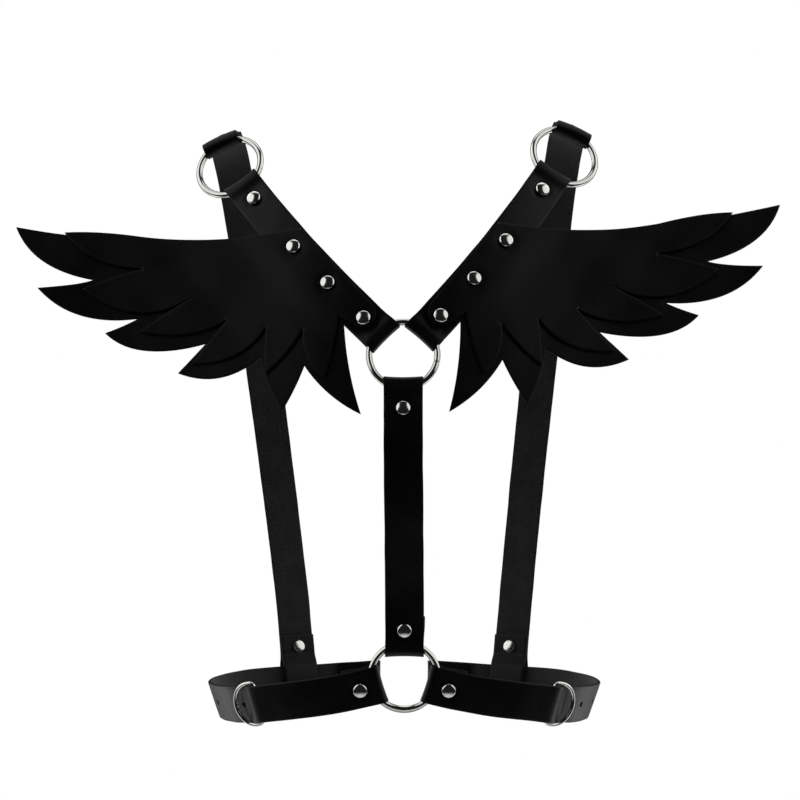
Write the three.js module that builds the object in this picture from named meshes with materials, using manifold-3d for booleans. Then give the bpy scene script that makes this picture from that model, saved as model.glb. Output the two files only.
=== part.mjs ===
// Angel wing harness: black leather straps and two-layer wings, wire rings, D-rings and domed rivets.
// Millimetres. +X is the viewer's right, +Y is the wearer's front, +Z is up.
// The origin lies midway between the undersides of the two shoulder straps.
import * as THREE from 'three';
import { mergeVertices } from 'three/addons/utils/BufferGeometryUtils.js';
import { TessellateModifier } from 'three/addons/modifiers/TessellateModifier.js';
import Module from 'manifold-3d';

const wasm = await Module();
wasm.setup();

// Leather
const STRAP_WIDTH = 20;
const LEATHER = 2;
const WING_LEATHER = 1.6;
const GAP = 0.3;
const LAYER = LEATHER / 2 + GAP / 2;

// Round rings: radius to the middle of the wire, and the wire's own radius
const RING_RADIUS = 18.25;
const RING_WIRE = 1.75;
const FRONT_RING = { radius: 19.7, wire: 1.5 };

// D-rings: half height of the bar, straight side, depth of the bow, corner and wire radius
const D_RING = { half: 11.8, side: 4.5, bow: 10, corner: 3, wire: 1.05 };
const D_RING_AT = 80.3;
const D_RING_DEPTH = D_RING.side + D_RING.bow;
const D_RING_UNDER = -1.7;
const D_RING_OVER = 2.4;

// Rivets: cap radius and height, shank, back cap
const RIVET = { cap: 4, dome: 2.4, rim: 0.5, shank: 1.5, back: 3.8, backDepth: 1.1, hole: 1.8 };

// The back, as a smooth surface that the slanting straps lie on
const BACK = { ringY: -98, ringZ: -125, slope: 0.27, bend: 0.0014, round: 0.00205 };
const WING_FLAT_FROM = 62;
const WING_RETURN = 0.0008;

// Rings sink into that surface, so their wire meets the straps a little way out
const CENTRE_SINK = 0.53;
const SHOULDER_SINK = 0.3;
const WAIST_SINK = 0.6;

// Slanting strap, in the plane of the back and measured from the centre ring: out and up
const SLANT = { turnOut: 55, turnUp: 52.5, endOut: 93.1, endUp: 108.3 };
const SLANT_RIVETS = [28, 56.1, 85.5];
const SLANT_ASIDE = 1.2;
const END_RIVET = 29.6;
const SPINE_RIVET = 30.2;
const SPINE_LOW_RIVET = 26.8;
const WAIST_RIVET = 24.9;

// The left side hangs a little lower than the right. The crest is the raised part of the upper
// wing layer's first edge: its pull, and the place it runs to.
const SIDES = [
  { name: 'left', sign: -1, turn: -1.75, holes: [10, 44.5], crest: [[98, 61], [142, 67.8]] },
  { name: 'right', sign: 1, turn: 1.75, holes: [28, 50], crest: [[100, 60], [142, 66.3]] },
];

// Folds round a ring and round the belt.
// at: where the loop starts to close, reach: from there to the middle of the bend,
// half: half height of the loop, lift: rise of its middle, sag and drop: how its edges follow
// the round wire, close and ease: lengths over which its inner and outer runs close, tail: end of the strap
const RING_FOLD = {
  at: RING_RADIUS, reach: 1.1, half: 3.4, lift: 0, sag: 1.9, drop: 0, close: 4.2, ease: 4.2, tail: 20,
};
const SHOULDER_FOLD = { ...RING_FOLD, reach: 0.8, half: 3.9, sag: 1.9, drop: 2.2, close: 6, ease: 6 };
const WAIST_FOLD = { ...RING_FOLD, half: 3.4, lift: -0.6, close: 5, ease: 24 };
const BELT_FOLD = { at: 10.5, reach: 20.5, half: 3.3, lift: 0, sag: 0, drop: 0, close: 6, ease: 6, tail: 18 };
const FRONT_FOLD = { ...RING_FOLD, at: FRONT_RING.radius };

// Wing, in the plane of the back and measured from the centre ring: out and up.
// Each feather runs from the notch before it by its leading edge to the tip,
// and by its trailing edge to the next notch. Every pair is [out, up].
const WING_START = { out: 52.7, up: 68.4 };
const WING_END = { out: 20.8, up: 21.1, radius: 7 };
const LOWER_FEATHERS = [
  { lead: [118, 57.2], tip: [211.3, 76.3], trail: [201.5, 52.2], notch: [167.8, 45.6] },
  { lead: [175.6, 42.8], tip: [198.7, 42.2], trail: [179.4, 19.9], notch: [142.9, 23.5] },
  { lead: [150.4, 19.7], tip: [161.3, 16.1], trail: [144.8, -0.6], notch: [105.9, 8.6] },
  { lead: [113, 1.5], tip: [121.4, -6.8], trail: [97.4, -16.6], notch: [76.4, 0.3] },
  { lead: [73.5, -15.2], tip: [65, -28.5], trail: [57.5, -17.2], notch: [52.6, -5] },
  { lead: [42, -22], tip: [23.2, -31.8], trail: [30.4, -8], notch: [30.8, 16.7] },
];
const UPPER_FEATHERS = [
  { lead: [165, 71.8], tip: [184, 71.6], trail: [169.5, 51.8], notch: [140.3, 49.8] },
  { lead: [159, 45.4], tip: [173.5, 40.1], trail: [144, 15.8], notch: [113.2, 32.8] },
  { lead: [128.5, 24.8], tip: [141.7, 15.8], trail: [114, 8.7], notch: [94, 20.4] },
  { lead: [104, 7.8], tip: [113.5, -2.4], trail: [86.3, -4.4], notch: [72.3, 15.8] },
  { lead: [73.6, 3], tip: [73.1, -9], trail: [60.1, 1], notch: [52.6, 14] },
  { lead: [53, -5], tip: [42, -12], trail: [36, 3], notch: [33.6, 19.7] },
];

// Half of the belt from the waist ring round to the front ring. It leans out at the top.
const WAIST_X = 0.7;
const BELT = [
  { x: 0, y: -80, z: -299, lean: 10 },
  { x: 18, y: -78.65, z: -304.1, lean: 10 },
  { x: 40, y: -77, z: -309, lean: 10.5 },
  { x: 62, y: -69.5, z: -312.7, lean: 12 },
  { x: 84, y: -52, z: -316.4, lean: 15 },
  { x: 98.5, y: -29, z: -318.2, lean: 18 },
  { x: 106, y: -1, z: -318.5, lean: 19 },
  { x: 103, y: 27, z: -318, lean: 17 },
  { x: 88, y: 52, z: -317, lean: 13 },
  { x: 61, y: 69, z: -316.5, lean: 9 },
  { x: 30, y: 76, z: -315.2, lean: 0.5 },
  { x: 0, y: 77, z: -313.8, lean: 0 },
];
// The belt rises over the bar of the D-ring and dips under its bow
const BELT_WAVE = [
  { along: -13, rise: 0 },
  { along: -6, rise: 0.6 },
  { along: -1.3, rise: 1.1 },
  { along: 1.3, rise: 1 },
  { along: 4.8, rise: -0.7 },
  { along: 8.2, rise: -2.2 },
  { along: 10.5, rise: -1.9 },
  { along: 14.5, rise: -0.7 },
  { along: 20, rise: 0 },
];
const BELT_HOLE = 1.5;

// Shoulder strap from the top of the shoulder down the chest; share of the side's own offset
const CHEST = [
  { x: 97.5, y: 0, z: -0.2, share: 1 },
  { x: 96.6, y: 17, z: -3.6, share: 0.95 },
  { x: 94.4, y: 34, z: -18, share: 0.85 },
  { x: 90, y: 51, z: -52, share: 0.65 },
  { x: 85, y: 68, z: -101, share: 0.4 },
  { x: 78.5, y: 80, z: -157, share: 0.2 },
  { x: 72, y: 83, z: -213, share: 0 },
];
// The strap leaves its ring upwards and a little outwards
const SHOULDER_WAY = { out: 0.34, up: 0.94 };
const SHOULDER_BEND = 52;
const CHEST_BELT_AT = 61;

const LEATHER_COLOUR = 0x0d0d0e;
const METAL_COLOUR = 0xd4d5d8;
const parts = new THREE.Group();
parts.name = 'angel_wing_harness';

const vec = (x, y, z) => new THREE.Vector3(x, y, z);

// Points and normals on the back and on the wings
function backY(x, z) {
  const up = z - BACK.ringZ;
  return BACK.ringY + BACK.slope * up + BACK.bend * up * up + BACK.round * x * x;
}

function wingY(x, z) {
  const out = Math.abs(x);
  const past = Math.max(0, out - WING_FLAT_FROM);
  const near = Math.min(out, WING_FLAT_FROM);
  const up = z - BACK.ringZ;
  const round = near * near + 2 * WING_FLAT_FROM * past;
  return BACK.ringY + BACK.slope * up + BACK.bend * up * up + BACK.round * round - WING_RETURN * past * past;
}

function surfaceNormal(height, x, z) {
  const step = 0.5;
  const dx = (height(x + step, z) - height(x - step, z)) / (2 * step);
  const dz = (height(x, z + step) - height(x, z - step)) / (2 * step);
  return vec(dx, -1, dz).normalize();
}

function onSurface(height, x, z, rise) {
  return vec(x, height(x, z), z).addScaledVector(surfaceNormal(height, x, z), rise);
}

// A place in the plane of the back, turned about the centre ring for its side
function turned(side, out, up) {
  const angle = THREE.MathUtils.degToRad(side.turn);
  const x = out * Math.cos(angle) - up * Math.sin(angle);
  const z = out * Math.sin(angle) + up * Math.cos(angle);
  return { x: side.sign * x, z: BACK.ringZ + z };
}

// Solids
function solidOf(geometry) {
  const bare = geometry.clone();
  bare.deleteAttribute('normal');
  bare.deleteAttribute('uv');
  const welded = mergeVertices(bare, 1e-4);
  const vertProperties = new Float32Array(welded.attributes.position.array);
  const corners = welded.index.array;
  const kept = [];
  for (let i = 0; i < corners.length; i += 3) {
    const [a, b, c] = [corners[i], corners[i + 1], corners[i + 2]];
    if (a !== b && b !== c && c !== a) {
      kept.push(a, b, c);
    }
  }
  const triVerts = new Uint32Array(kept);
  return new wasm.Manifold(new wasm.Mesh({ numProp: 3, vertProperties, triVerts }));
}

function geometryOf(solid) {
  const mesh = solid.getMesh();
  const geometry = new THREE.BufferGeometry();
  const places = [];
  for (let i = 0; i < mesh.numVert; i += 1) {
    const at = i * mesh.numProp;
    places.push(mesh.vertProperties[at], mesh.vertProperties[at + 1], mesh.vertProperties[at + 2]);
  }
  geometry.setAttribute('position', new THREE.Float32BufferAttribute(places, 3));
  geometry.setIndex(Array.from(mesh.triVerts));
  return geometry;
}

function volumeOf(points, faces) {
  let sum = 0;
  for (let i = 0; i < faces.length; i += 3) {
    const a = points[faces[i]];
    const b = points[faces[i + 1]];
    const c = points[faces[i + 2]];
    sum += a.dot(b.clone().cross(c));
  }
  return sum / 6;
}

function closedGeometry(points, faces) {
  const outward = volumeOf(points, faces) >= 0;
  const index = [];
  for (let i = 0; i < faces.length; i += 3) {
    index.push(faces[i], faces[i + (outward ? 1 : 2)], faces[i + (outward ? 2 : 1)]);
  }
  const geometry = new THREE.BufferGeometry().setFromPoints(points);
  geometry.setIndex(index);
  return geometry;
}

// A slab between two grids of points with the same rows and columns
function slab(outer, inner) {
  const rows = outer.length;
  const columns = outer[0].length;
  const points = [...outer.flat(), ...inner.flat()];
  const under = rows * columns;
  const faces = [];
  const quad = (a, b, c, d) => faces.push(a, b, c, a, c, d);
  const at = (i, j) => i * columns + j;
  for (let i = 0; i < rows - 1; i += 1) {
    for (let j = 0; j < columns - 1; j += 1) {
      quad(at(i, j), at(i, j + 1), at(i + 1, j + 1), at(i + 1, j));
      quad(under + at(i, j), under + at(i + 1, j), under + at(i + 1, j + 1), under + at(i, j + 1));
    }
    const last = columns - 1;
    quad(at(i, 0), at(i + 1, 0), under + at(i + 1, 0), under + at(i, 0));
    quad(at(i, last), under + at(i, last), under + at(i + 1, last), at(i + 1, last));
  }
  for (let j = 0; j < columns - 1; j += 1) {
    const end = rows - 1;
    quad(at(0, j), under + at(0, j), under + at(0, j + 1), at(0, j + 1));
    quad(at(end, j), at(end, j + 1), under + at(end, j + 1), under + at(end, j));
  }
  return closedGeometry(points, faces);
}

// A round wire along a closed flat loop
function wireLoop(loop, normal, radius, sides) {
  const count = loop.length;
  const points = [];
  const faces = [];
  loop.forEach((place, i) => {
    const before = place.clone().sub(loop[(i + count - 1) % count]).normalize();
    const after = loop[(i + 1) % count].clone().sub(place).normalize();
    const along = before.clone().add(after).normalize();
    const across = along.clone().cross(normal);
    const mitre = 1 / Math.max(0.5, along.dot(after));
    for (let k = 0; k < sides; k += 1) {
      const angle = (2 * Math.PI * k) / sides;
      const point = place.clone().addScaledVector(normal, radius * Math.cos(angle));
      points.push(point.addScaledVector(across, radius * mitre * Math.sin(angle)));
    }
  });
  for (let i = 0; i < count; i += 1) {
    const next = (i + 1) % count;
    for (let k = 0; k < sides; k += 1) {
      const turn = (k + 1) % sides;
      const a = i * sides + k;
      const b = next * sides + k;
      const c = next * sides + turn;
      const d = i * sides + turn;
      faces.push(a, b, c, a, c, d);
    }
  }
  return closedGeometry(points, faces);
}

// Strap paths: a middle line with the frame of the strap along it
function freePath(curve, across, flip) {
  const length = curve.getLength();
  const frame = (s) => {
    const u = THREE.MathUtils.clamp(s / length, 0, 1);
    const t = curve.getTangentAt(u);
    const p = curve.getPointAt(u).addScaledVector(t, s - u * length);
    const w = across(u, p, t);
    w.addScaledVector(t, -w.dot(t)).normalize();
    const n = w.clone().cross(t).multiplyScalar(flip);
    return { p, t, n, w };
  };
  const at = (s, w, h) => {
    const f = frame(s);
    return f.p.addScaledVector(f.w, w).addScaledVector(f.n, h);
  };
  return { length, frame, at };
}

function backPath(side) {
  const flat = new THREE.QuadraticBezierCurve(
    new THREE.Vector2(0, 0),
    new THREE.Vector2(SLANT.turnOut, SLANT.turnUp),
    new THREE.Vector2(SLANT.endOut, SLANT.endUp),
  );
  const places = flat.getPoints(24).map((q) => {
    const place = turned(side, q.x, q.y);
    return vec(place.x, backY(place.x, place.z), place.z);
  });
  const curve = new THREE.CatmullRomCurve3(places);
  const length = curve.getLength();
  const frame = (s) => {
    const u = THREE.MathUtils.clamp(s / length, 0, 1);
    const p = curve.getPointAt(u);
    const t = curve.getTangentAt(u);
    const n = surfaceNormal(backY, p.x, p.z);
    n.addScaledVector(t, -n.dot(t)).normalize();
    const w = t.clone().cross(n);
    return { p, t, n, w };
  };
  const at = (s, w, h) => {
    const f = frame(s);
    return onSurface(backY, f.p.x + w * f.w.x, f.p.z + w * f.w.z, h);
  };
  return { length, frame, at };
}

// Stations of a fold, from the end of the tail round the bend to the open run
function foldStations(fold) {
  const round = { sag: -fold.sag, drop: -fold.drop };
  const flat = { sag: 0, drop: -fold.drop * 0.1 };
  const list = [
    { s: fold.at + fold.tail, h: -LAYER, sag: 0, drop: 0 },
    { s: fold.at + fold.close, h: -LAYER, ...flat },
    { s: fold.at, h: fold.lift - fold.half, ...round },
  ];
  for (let k = 0; k <= 8; k += 1) {
    const angle = Math.PI * (1.5 - k / 8);
    const s = fold.at - fold.reach + fold.half * Math.cos(angle);
    list.push({ s, h: fold.lift + fold.half * Math.sin(angle), ...round });
  }
  list.push({ s: fold.at, h: fold.lift + fold.half, ...round });
  list.push({ s: fold.at + fold.ease, h: LAYER, ...flat });
  return list;
}

function strapStations(length, first, last, steps, wave) {
  const start = foldStations(first);
  const end = foldStations(last).map((q) => ({ ...q, s: length - q.s, sag: -q.sag })).reverse();
  const from = first.at + first.ease;
  const to = length - last.at - last.ease;
  const cuts = [];
  for (let k = 1; k < steps; k += 1) {
    cuts.push(from + ((to - from) * k) / steps);
  }
  const lows = wave.map((q) => q.s);
  const kept = cuts.filter((s) => !lows.length || s < lows[0] - 3 || s > lows[lows.length - 1] + 3);
  const run = kept.map((s) => ({ s, h: LAYER, sag: 0, drop: 0 }));
  wave.forEach((q) => run.push({ s: q.s, h: LAYER + q.rise, sag: 0, drop: 0 }));
  run.sort((a, b) => a.s - b.s);
  return [...start, ...run, ...end];
}

function strapGeometry(path, stations) {
  const outer = [];
  const inner = [];
  stations.forEach((q, i) => {
    const a = stations[Math.max(i - 1, 0)];
    const b = stations[Math.min(i + 1, stations.length - 1)];
    const ds = b.s - a.s;
    const dh = b.h - a.h;
    const scale = LEATHER / 2 / Math.hypot(ds, dh);
    const place = (c, face) => {
      const along = q.s + q.sag * c * c - face * dh * scale;
      return path.at(along, (c * STRAP_WIDTH) / 2, q.h + q.drop * c * c + face * ds * scale);
    };
    outer.push([-1, 0, 1].map((c) => place(c, 1)));
    inner.push([-1, 0, 1].map((c) => place(c, -1)));
  });
  return slab(outer, inner);
}

// Rivets and the holes they need
function placed(geometry, place, axis) {
  const turn = new THREE.Quaternion().setFromUnitVectors(vec(0, 1, 0), axis);
  geometry.applyQuaternion(turn);
  geometry.translate(place.x, place.y, place.z);
  return geometry;
}

function rivetGeometry(place, axis, low, high) {
  const back = low - GAP;
  const front = high + GAP;
  const profile = [
    [0, back - RIVET.backDepth],
    [RIVET.back - 0.5, back - RIVET.backDepth],
    [RIVET.back, back - 0.4],
    [RIVET.back, back],
    [RIVET.shank, back],
    [RIVET.shank, front],
    [RIVET.cap, front],
    [RIVET.cap, front + RIVET.rim],
    [RIVET.cap * 0.86, front + RIVET.dome * 0.58],
    [RIVET.cap * 0.55, front + RIVET.dome * 0.87],
    [0, front + RIVET.dome],
  ].map(([r, h]) => new THREE.Vector2(r, h));
  return placed(new THREE.LatheGeometry(profile, 12), place, axis);
}

function holeSolid(place, axis, radius, low, high) {
  const bore = new THREE.CylinderGeometry(radius, radius, high - low, 12);
  bore.translate(0, (high + low) / 2, 0);
  return solidOf(placed(bore, place, axis));
}

const leathers = new Map();
const metals = [];

function addMetal(name, geometry) {
  metals.push({ name, geometry });
}

// A rivet set at a place on a path, through the named leather pieces
function addRivet(name, path, s, low, high, through, aside = 0) {
  const f = path.frame(s);
  const place = path.at(s, aside, 0);
  addMetal(name, rivetGeometry(place, f.n, low, high));
  through.forEach((piece) => {
    const bore = holeSolid(place, f.n, RIVET.hole, low - 2, high + 2);
    leathers.set(piece, leathers.get(piece).subtract(bore));
  });
}

const STACK_LOW = -LAYER - LEATHER / 2;
const STACK_HIGH = LAYER + LEATHER / 2;

// Close to the waist ring the strap still stands open under its rivet
const WAIST_LOW = STACK_LOW - 1.8;
const WAIST_HIGH = STACK_HIGH + 1.5;

// Rings
function addRing(name, centre, normal, radius = RING_RADIUS, wire = RING_WIRE) {
  const ring = new THREE.TorusGeometry(radius, wire, 8, 28);
  const turn = new THREE.Quaternion().setFromUnitVectors(vec(0, 0, 1), normal);
  ring.applyQuaternion(turn);
  ring.translate(centre.x, centre.y, centre.z);
  addMetal(name, ring);
}

const centreNormal = surfaceNormal(backY, 0, BACK.ringZ);
const centreRing = onSurface(backY, 0, BACK.ringZ, -CENTRE_SINK);
addRing('centre_ring', centreRing, centreNormal);

const waistLean = THREE.MathUtils.degToRad(BELT[0].lean);
const waistNormal = vec(0, -Math.cos(waistLean), -Math.sin(waistLean));
const waistRing = vec(WAIST_X + BELT[0].x, BELT[0].y, BELT[0].z);
addRing('waist_ring', waistRing.clone().addScaledVector(waistNormal, -WAIST_SINK), waistNormal);

// A smooth bend from one place and direction to another
function bend(from, way, to, arrive, steps) {
  const handle = from.distanceTo(to) / 3;
  const leave = from.clone().addScaledVector(way, handle);
  const reach = to.clone().addScaledVector(arrive, -handle);
  return new THREE.CubicBezierCurve3(from, leave, reach, to).getPoints(steps);
}

// Spine strap between the two rings on the middle line
const SPINE_STRAIGHT = 34;

function spinePath() {
  const topDown = vec(0, -centreNormal.z, centreNormal.y);
  const lowDown = vec(0, Math.sin(waistLean), -Math.cos(waistLean));
  const top = centreRing.clone().addScaledVector(topDown, SPINE_STRAIGHT);
  const low = waistRing.clone().addScaledVector(lowDown, -SPINE_STRAIGHT);
  const curve = new THREE.CatmullRomCurve3([
    centreRing,
    centreRing.clone().lerp(top, 0.5),
    ...bend(top, topDown, low, lowDown, 10),
    waistRing.clone().lerp(low, 0.5),
    waistRing,
  ]);
  return freePath(curve, () => vec(1, 0, 0), -1);
}

const spine = spinePath();
const spineStations = strapStations(spine.length, RING_FOLD, WAIST_FOLD, 9, []);
leathers.set('spine_strap', solidOf(strapGeometry(spine, spineStations)));
addRivet('spine_rivet_top', spine, SPINE_RIVET, STACK_LOW, STACK_HIGH, ['spine_strap']);
addRivet('spine_rivet_bottom', spine, spine.length - SPINE_LOW_RIVET, WAIST_LOW, WAIST_HIGH, ['spine_strap']);

// Belt lean at a place, from how far round the belt it lies
function beltAngle(x, y) {
  return Math.atan2(x, -y);
}

function beltLean(angle) {
  const rows = BELT.map((row) => ({ angle: beltAngle(row.x, row.y), lean: row.lean }));
  let lean = rows[rows.length - 1].lean;
  for (let i = 0; i < rows.length - 1; i += 1) {
    const a = rows[i];
    const b = rows[i + 1];
    if (angle >= a.angle && angle <= b.angle) {
      lean = a.lean + ((b.lean - a.lean) * (angle - a.angle)) / (b.angle - a.angle);
    }
  }
  return THREE.MathUtils.degToRad(lean);
}

function beltPath(side) {
  const places = BELT.map((row) => vec(WAIST_X + side.sign * row.x, row.y, row.z));
  const across = (u, p, t) => {
    const lean = beltLean(beltAngle(Math.max(0, side.sign * (p.x - WAIST_X)), p.y));
    const out = vec(t.y, -t.x, 0).multiplyScalar(side.sign).normalize();
    return out.multiplyScalar(Math.sin(lean)).add(vec(0, 0, Math.cos(lean)));
  };
  return freePath(new THREE.CatmullRomCurve3(places), across, -side.sign);
}

function alongAt(path, side, x, from) {
  let s = from;
  while (side.sign * (path.at(s, 0, 0).x - WAIST_X) < x) {
    s += 0.25;
  }
  return s;
}

// The place on the front half of the belt where it comes back to a given x
function frontAt(path, side, x) {
  let s = path.length;
  while (side.sign * (path.at(s, 0, 0).x - WAIST_X) < x) {
    s -= 0.25;
  }
  return s;
}

function dRing(path, barAt) {
  const bar = path.at(barAt, 0, LAYER + D_RING_UNDER);
  const bow = path.at(barAt + D_RING_DEPTH, 0, LAYER + D_RING_OVER);
  const along = bow.clone().sub(bar).normalize();
  const up = path.frame(barAt + D_RING_DEPTH / 2).w;
  up.addScaledVector(along, -up.dot(along)).normalize();
  const normal = along.clone().cross(up);
  const loop = [];
  const put = (a, b) => loop.push(bar.clone().addScaledVector(along, a).addScaledVector(up, b));
  const straight = D_RING.half - D_RING.corner;
  for (let k = 0; k <= 3; k += 1) {
    const angle = (Math.PI / 2) * (k / 3);
    put(D_RING.corner * (1 - Math.cos(angle)), straight + D_RING.corner * Math.sin(angle));
  }
  for (let k = 0; k <= 14; k += 1) {
    const angle = (Math.PI * k) / 14;
    put(D_RING.side + D_RING.bow * Math.sin(angle), D_RING.half * Math.cos(angle));
  }
  for (let k = 3; k >= 0; k -= 1) {
    const angle = (Math.PI / 2) * (k / 3);
    put(D_RING.corner * (1 - Math.cos(angle)), -straight - D_RING.corner * Math.sin(angle));
  }
  return wireLoop(loop, normal, D_RING.wire, 8);
}

// Wing layers
function wingShape(feathers, crest) {
  const shape = new THREE.Shape();
  shape.moveTo(WING_START.out, WING_START.up);
  if (crest) {
    shape.quadraticCurveTo(...crest[0], ...crest[1]);
  }
  feathers.forEach((f) => {
    shape.quadraticCurveTo(...f.lead, ...f.tip);
    shape.quadraticCurveTo(...f.trail, ...f.notch);
  });
  const slope = Math.atan2(SLANT.turnUp, SLANT.turnOut);
  const start = slope - Math.PI / 2;
  shape.absarc(WING_END.out, WING_END.up, WING_END.radius, start, start - Math.PI, true);
  shape.closePath();
  return shape;
}

function wingGeometry(feathers, crest, side, low) {
  const settings = { depth: WING_LEATHER, bevelEnabled: false, steps: 1, curveSegments: 5 };
  const flat = new THREE.ExtrudeGeometry(wingShape(feathers, crest), settings);
  const fine = new TessellateModifier(20, 9).modify(flat);
  const places = fine.attributes.position;
  const points = [];
  for (let i = 0; i < places.count; i += 1) {
    const place = turned(side, places.getX(i), places.getY(i));
    points.push(onSurface(wingY, place.x, place.z, low + places.getZ(i)));
  }
  const bent = mergeVertices(new THREE.BufferGeometry().setFromPoints(points), 1e-3);
  const corners = bent.attributes.position;
  const welded = [];
  for (let i = 0; i < corners.count; i += 1) {
    welded.push(vec(corners.getX(i), corners.getY(i), corners.getZ(i)));
  }
  return closedGeometry(welded, Array.from(bent.index.array));
}

SIDES.forEach((side) => {
  const ended = (name) => `${name}_${side.name}`;

  // Shoulder ring and slanting strap
  const ringPlace = turned(side, SLANT.endOut, SLANT.endUp);
  const ringNormal = surfaceNormal(backY, ringPlace.x, ringPlace.z);
  const ringCentre = onSurface(backY, ringPlace.x, ringPlace.z, -SHOULDER_SINK);
  addRing(ended('shoulder_ring'), ringCentre, ringNormal);
  const back = backPath(side);
  const backStrap = ended('back_strap');
  const backStations = strapStations(back.length, RING_FOLD, RING_FOLD, 8, []);
  leathers.set(backStrap, solidOf(strapGeometry(back, backStations)));

  // Wing layers and their rivets
  const lowerBase = STACK_HIGH + GAP;
  const upperBase = lowerBase + WING_LEATHER + GAP;
  const wingTop = upperBase + WING_LEATHER;
  const lower = ended('wing_lower');
  const upper = ended('wing_upper');
  leathers.set(lower, solidOf(wingGeometry(LOWER_FEATHERS, null, side, lowerBase)));
  leathers.set(upper, solidOf(wingGeometry(UPPER_FEATHERS, side.crest, side, upperBase)));
  SLANT_RIVETS.forEach((s, i) => {
    const low = i === 0 ? STACK_LOW : LAYER - LEATHER / 2;
    const aside = side.sign * SLANT_ASIDE;
    addRivet(`wing_rivet_${side.name}_${i + 1}`, back, s, low, wingTop, [backStrap, lower, upper], aside);
  });
  addRivet(ended('back_rivet'), back, back.length - END_RIVET, STACK_LOW, STACK_HIGH, [backStrap]);

  // Half of the belt with its D-ring, holes and rivets
  const belt = beltPath(side);
  const waistStrap = ended('waist_strap');
  const barAt = alongAt(belt, side, D_RING_AT, RING_FOLD.tail);
  const wave = BELT_WAVE.map((row) => ({ s: barAt + row.along, rise: row.rise }));
  const beltStations = strapStations(belt.length, WAIST_FOLD, FRONT_FOLD, 20, wave);
  leathers.set(waistStrap, solidOf(strapGeometry(belt, beltStations)));
  addMetal(ended('side_d_ring'), dRing(belt, barAt));
  side.holes.forEach((along) => {
    const f = belt.frame(barAt + along);
    const bore = holeSolid(belt.at(barAt + along, 0, 0), f.n, BELT_HOLE, -6, 8);
    leathers.set(waistStrap, leathers.get(waistStrap).subtract(bore));
  });
  addRivet(ended('waist_rivet'), belt, WAIST_RIVET, WAIST_LOW, WAIST_HIGH, [waistStrap]);
  const beltRivet = belt.length - FRONT_FOLD.at - FRONT_FOLD.close - 5;
  addRivet(ended('belt_rivet'), belt, beltRivet, STACK_LOW, STACK_HIGH, [waistStrap]);

  // Shoulder strap over the shoulder and down the chest, looped round the belt
  const beltAt = frontAt(belt, side, CHEST_BELT_AT);
  const crossing = belt.frame(beltAt);
  const crossed = belt.at(beltAt, 0, LAYER);
  const upRing = vec(side.sign * SHOULDER_WAY.out, 0, SHOULDER_WAY.up);
  upRing.y = -(upRing.x * ringNormal.x + upRing.z * ringNormal.z) / ringNormal.y;
  upRing.normalize();
  const offset = vec(side.sign * ringPlace.x - SLANT.endOut, 0, ringPlace.z - BACK.ringZ - SLANT.endUp);
  const tilt = THREE.MathUtils.degToRad(SHOULDER_BEND);
  const over = upRing.clone().multiplyScalar(Math.cos(tilt)).addScaledVector(ringNormal, -Math.sin(tilt));
  const wire = ringCentre.clone().addScaledVector(upRing, RING_RADIUS);
  const places = [-RING_RADIUS, -8, 2, 12, 16].map((length) => wire.clone().addScaledVector(over, length));
  CHEST.forEach((row) => {
    places.push(vec(side.sign * (row.x + row.share * offset.x), row.y, row.z + row.share * offset.z));
  });
  [48, 26, 0, -14].forEach((length) => {
    places.push(crossed.clone().addScaledVector(crossing.w, length));
  });
  const curve = new THREE.CatmullRomCurve3(places);
  const ringAcross = upRing.clone().cross(ringNormal);
  const beltAcross = crossing.w.clone().negate().cross(crossing.n);
  const across = (u) => {
    const mix = THREE.MathUtils.smoothstep(u, 0.12, 0.85);
    return ringAcross.clone().lerp(beltAcross, mix);
  };
  const chest = freePath(curve, across, 1);
  const shoulderStrap = ended('shoulder_strap');
  const below = { ...BELT_FOLD, at: BELT_FOLD.at + 14 };
  const chestStations = strapStations(chest.length, SHOULDER_FOLD, below, 22, []);
  leathers.set(shoulderStrap, solidOf(strapGeometry(chest, chestStations)));
  addRivet(ended('shoulder_rivet'), chest, END_RIVET, STACK_LOW, STACK_HIGH, [shoulderStrap]);
  const loopRivet = chest.length - below.at - below.close - 5;
  addRivet(ended('front_rivet'), chest, loopRivet, STACK_LOW, STACK_HIGH, [shoulderStrap]);
});

// Front ring, as deep as the belt where its folds stand
const frontBelt = beltPath(SIDES[1]);
const frontRing = frontBelt.at(frontBelt.length, 0, 0);
frontRing.y = frontBelt.at(frontBelt.length - FRONT_RING.radius, 0, 0).y;
addRing('front_ring', frontRing, vec(0, 1, 0), FRONT_RING.radius, FRONT_RING.wire);

// Every piece is one named mesh with a material of its own
leathers.forEach((solid, name) => {
  const look = new THREE.MeshStandardMaterial({ color: LEATHER_COLOUR, roughness: 0.45, metalness: 0 });
  const mesh = new THREE.Mesh(geometryOf(solid), look);
  mesh.name = name;
  parts.add(mesh);
});
metals.forEach((piece) => {
  const look = new THREE.MeshStandardMaterial({ color: METAL_COLOUR, roughness: 0.12, metalness: 1 });
  const mesh = new THREE.Mesh(geometryOf(solidOf(piece.geometry)), look);
  mesh.name = piece.name;
  parts.add(mesh);
});

export default parts;
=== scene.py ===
"""Angel wing harness: black leather straps and layered wings, wire rings, D-rings and domed rivets.

Sizes are in millimetres and become metres when a mesh is made. +X is the viewer's right, +Y
runs from the back to the chest and +Z is up. The origin lies midway between the two shoulder straps.
"""
import logging
import math
from dataclasses import dataclass, field, replace
from enum import Enum, IntEnum
from typing import Any, Callable, NamedTuple, Protocol, Sequence

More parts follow.
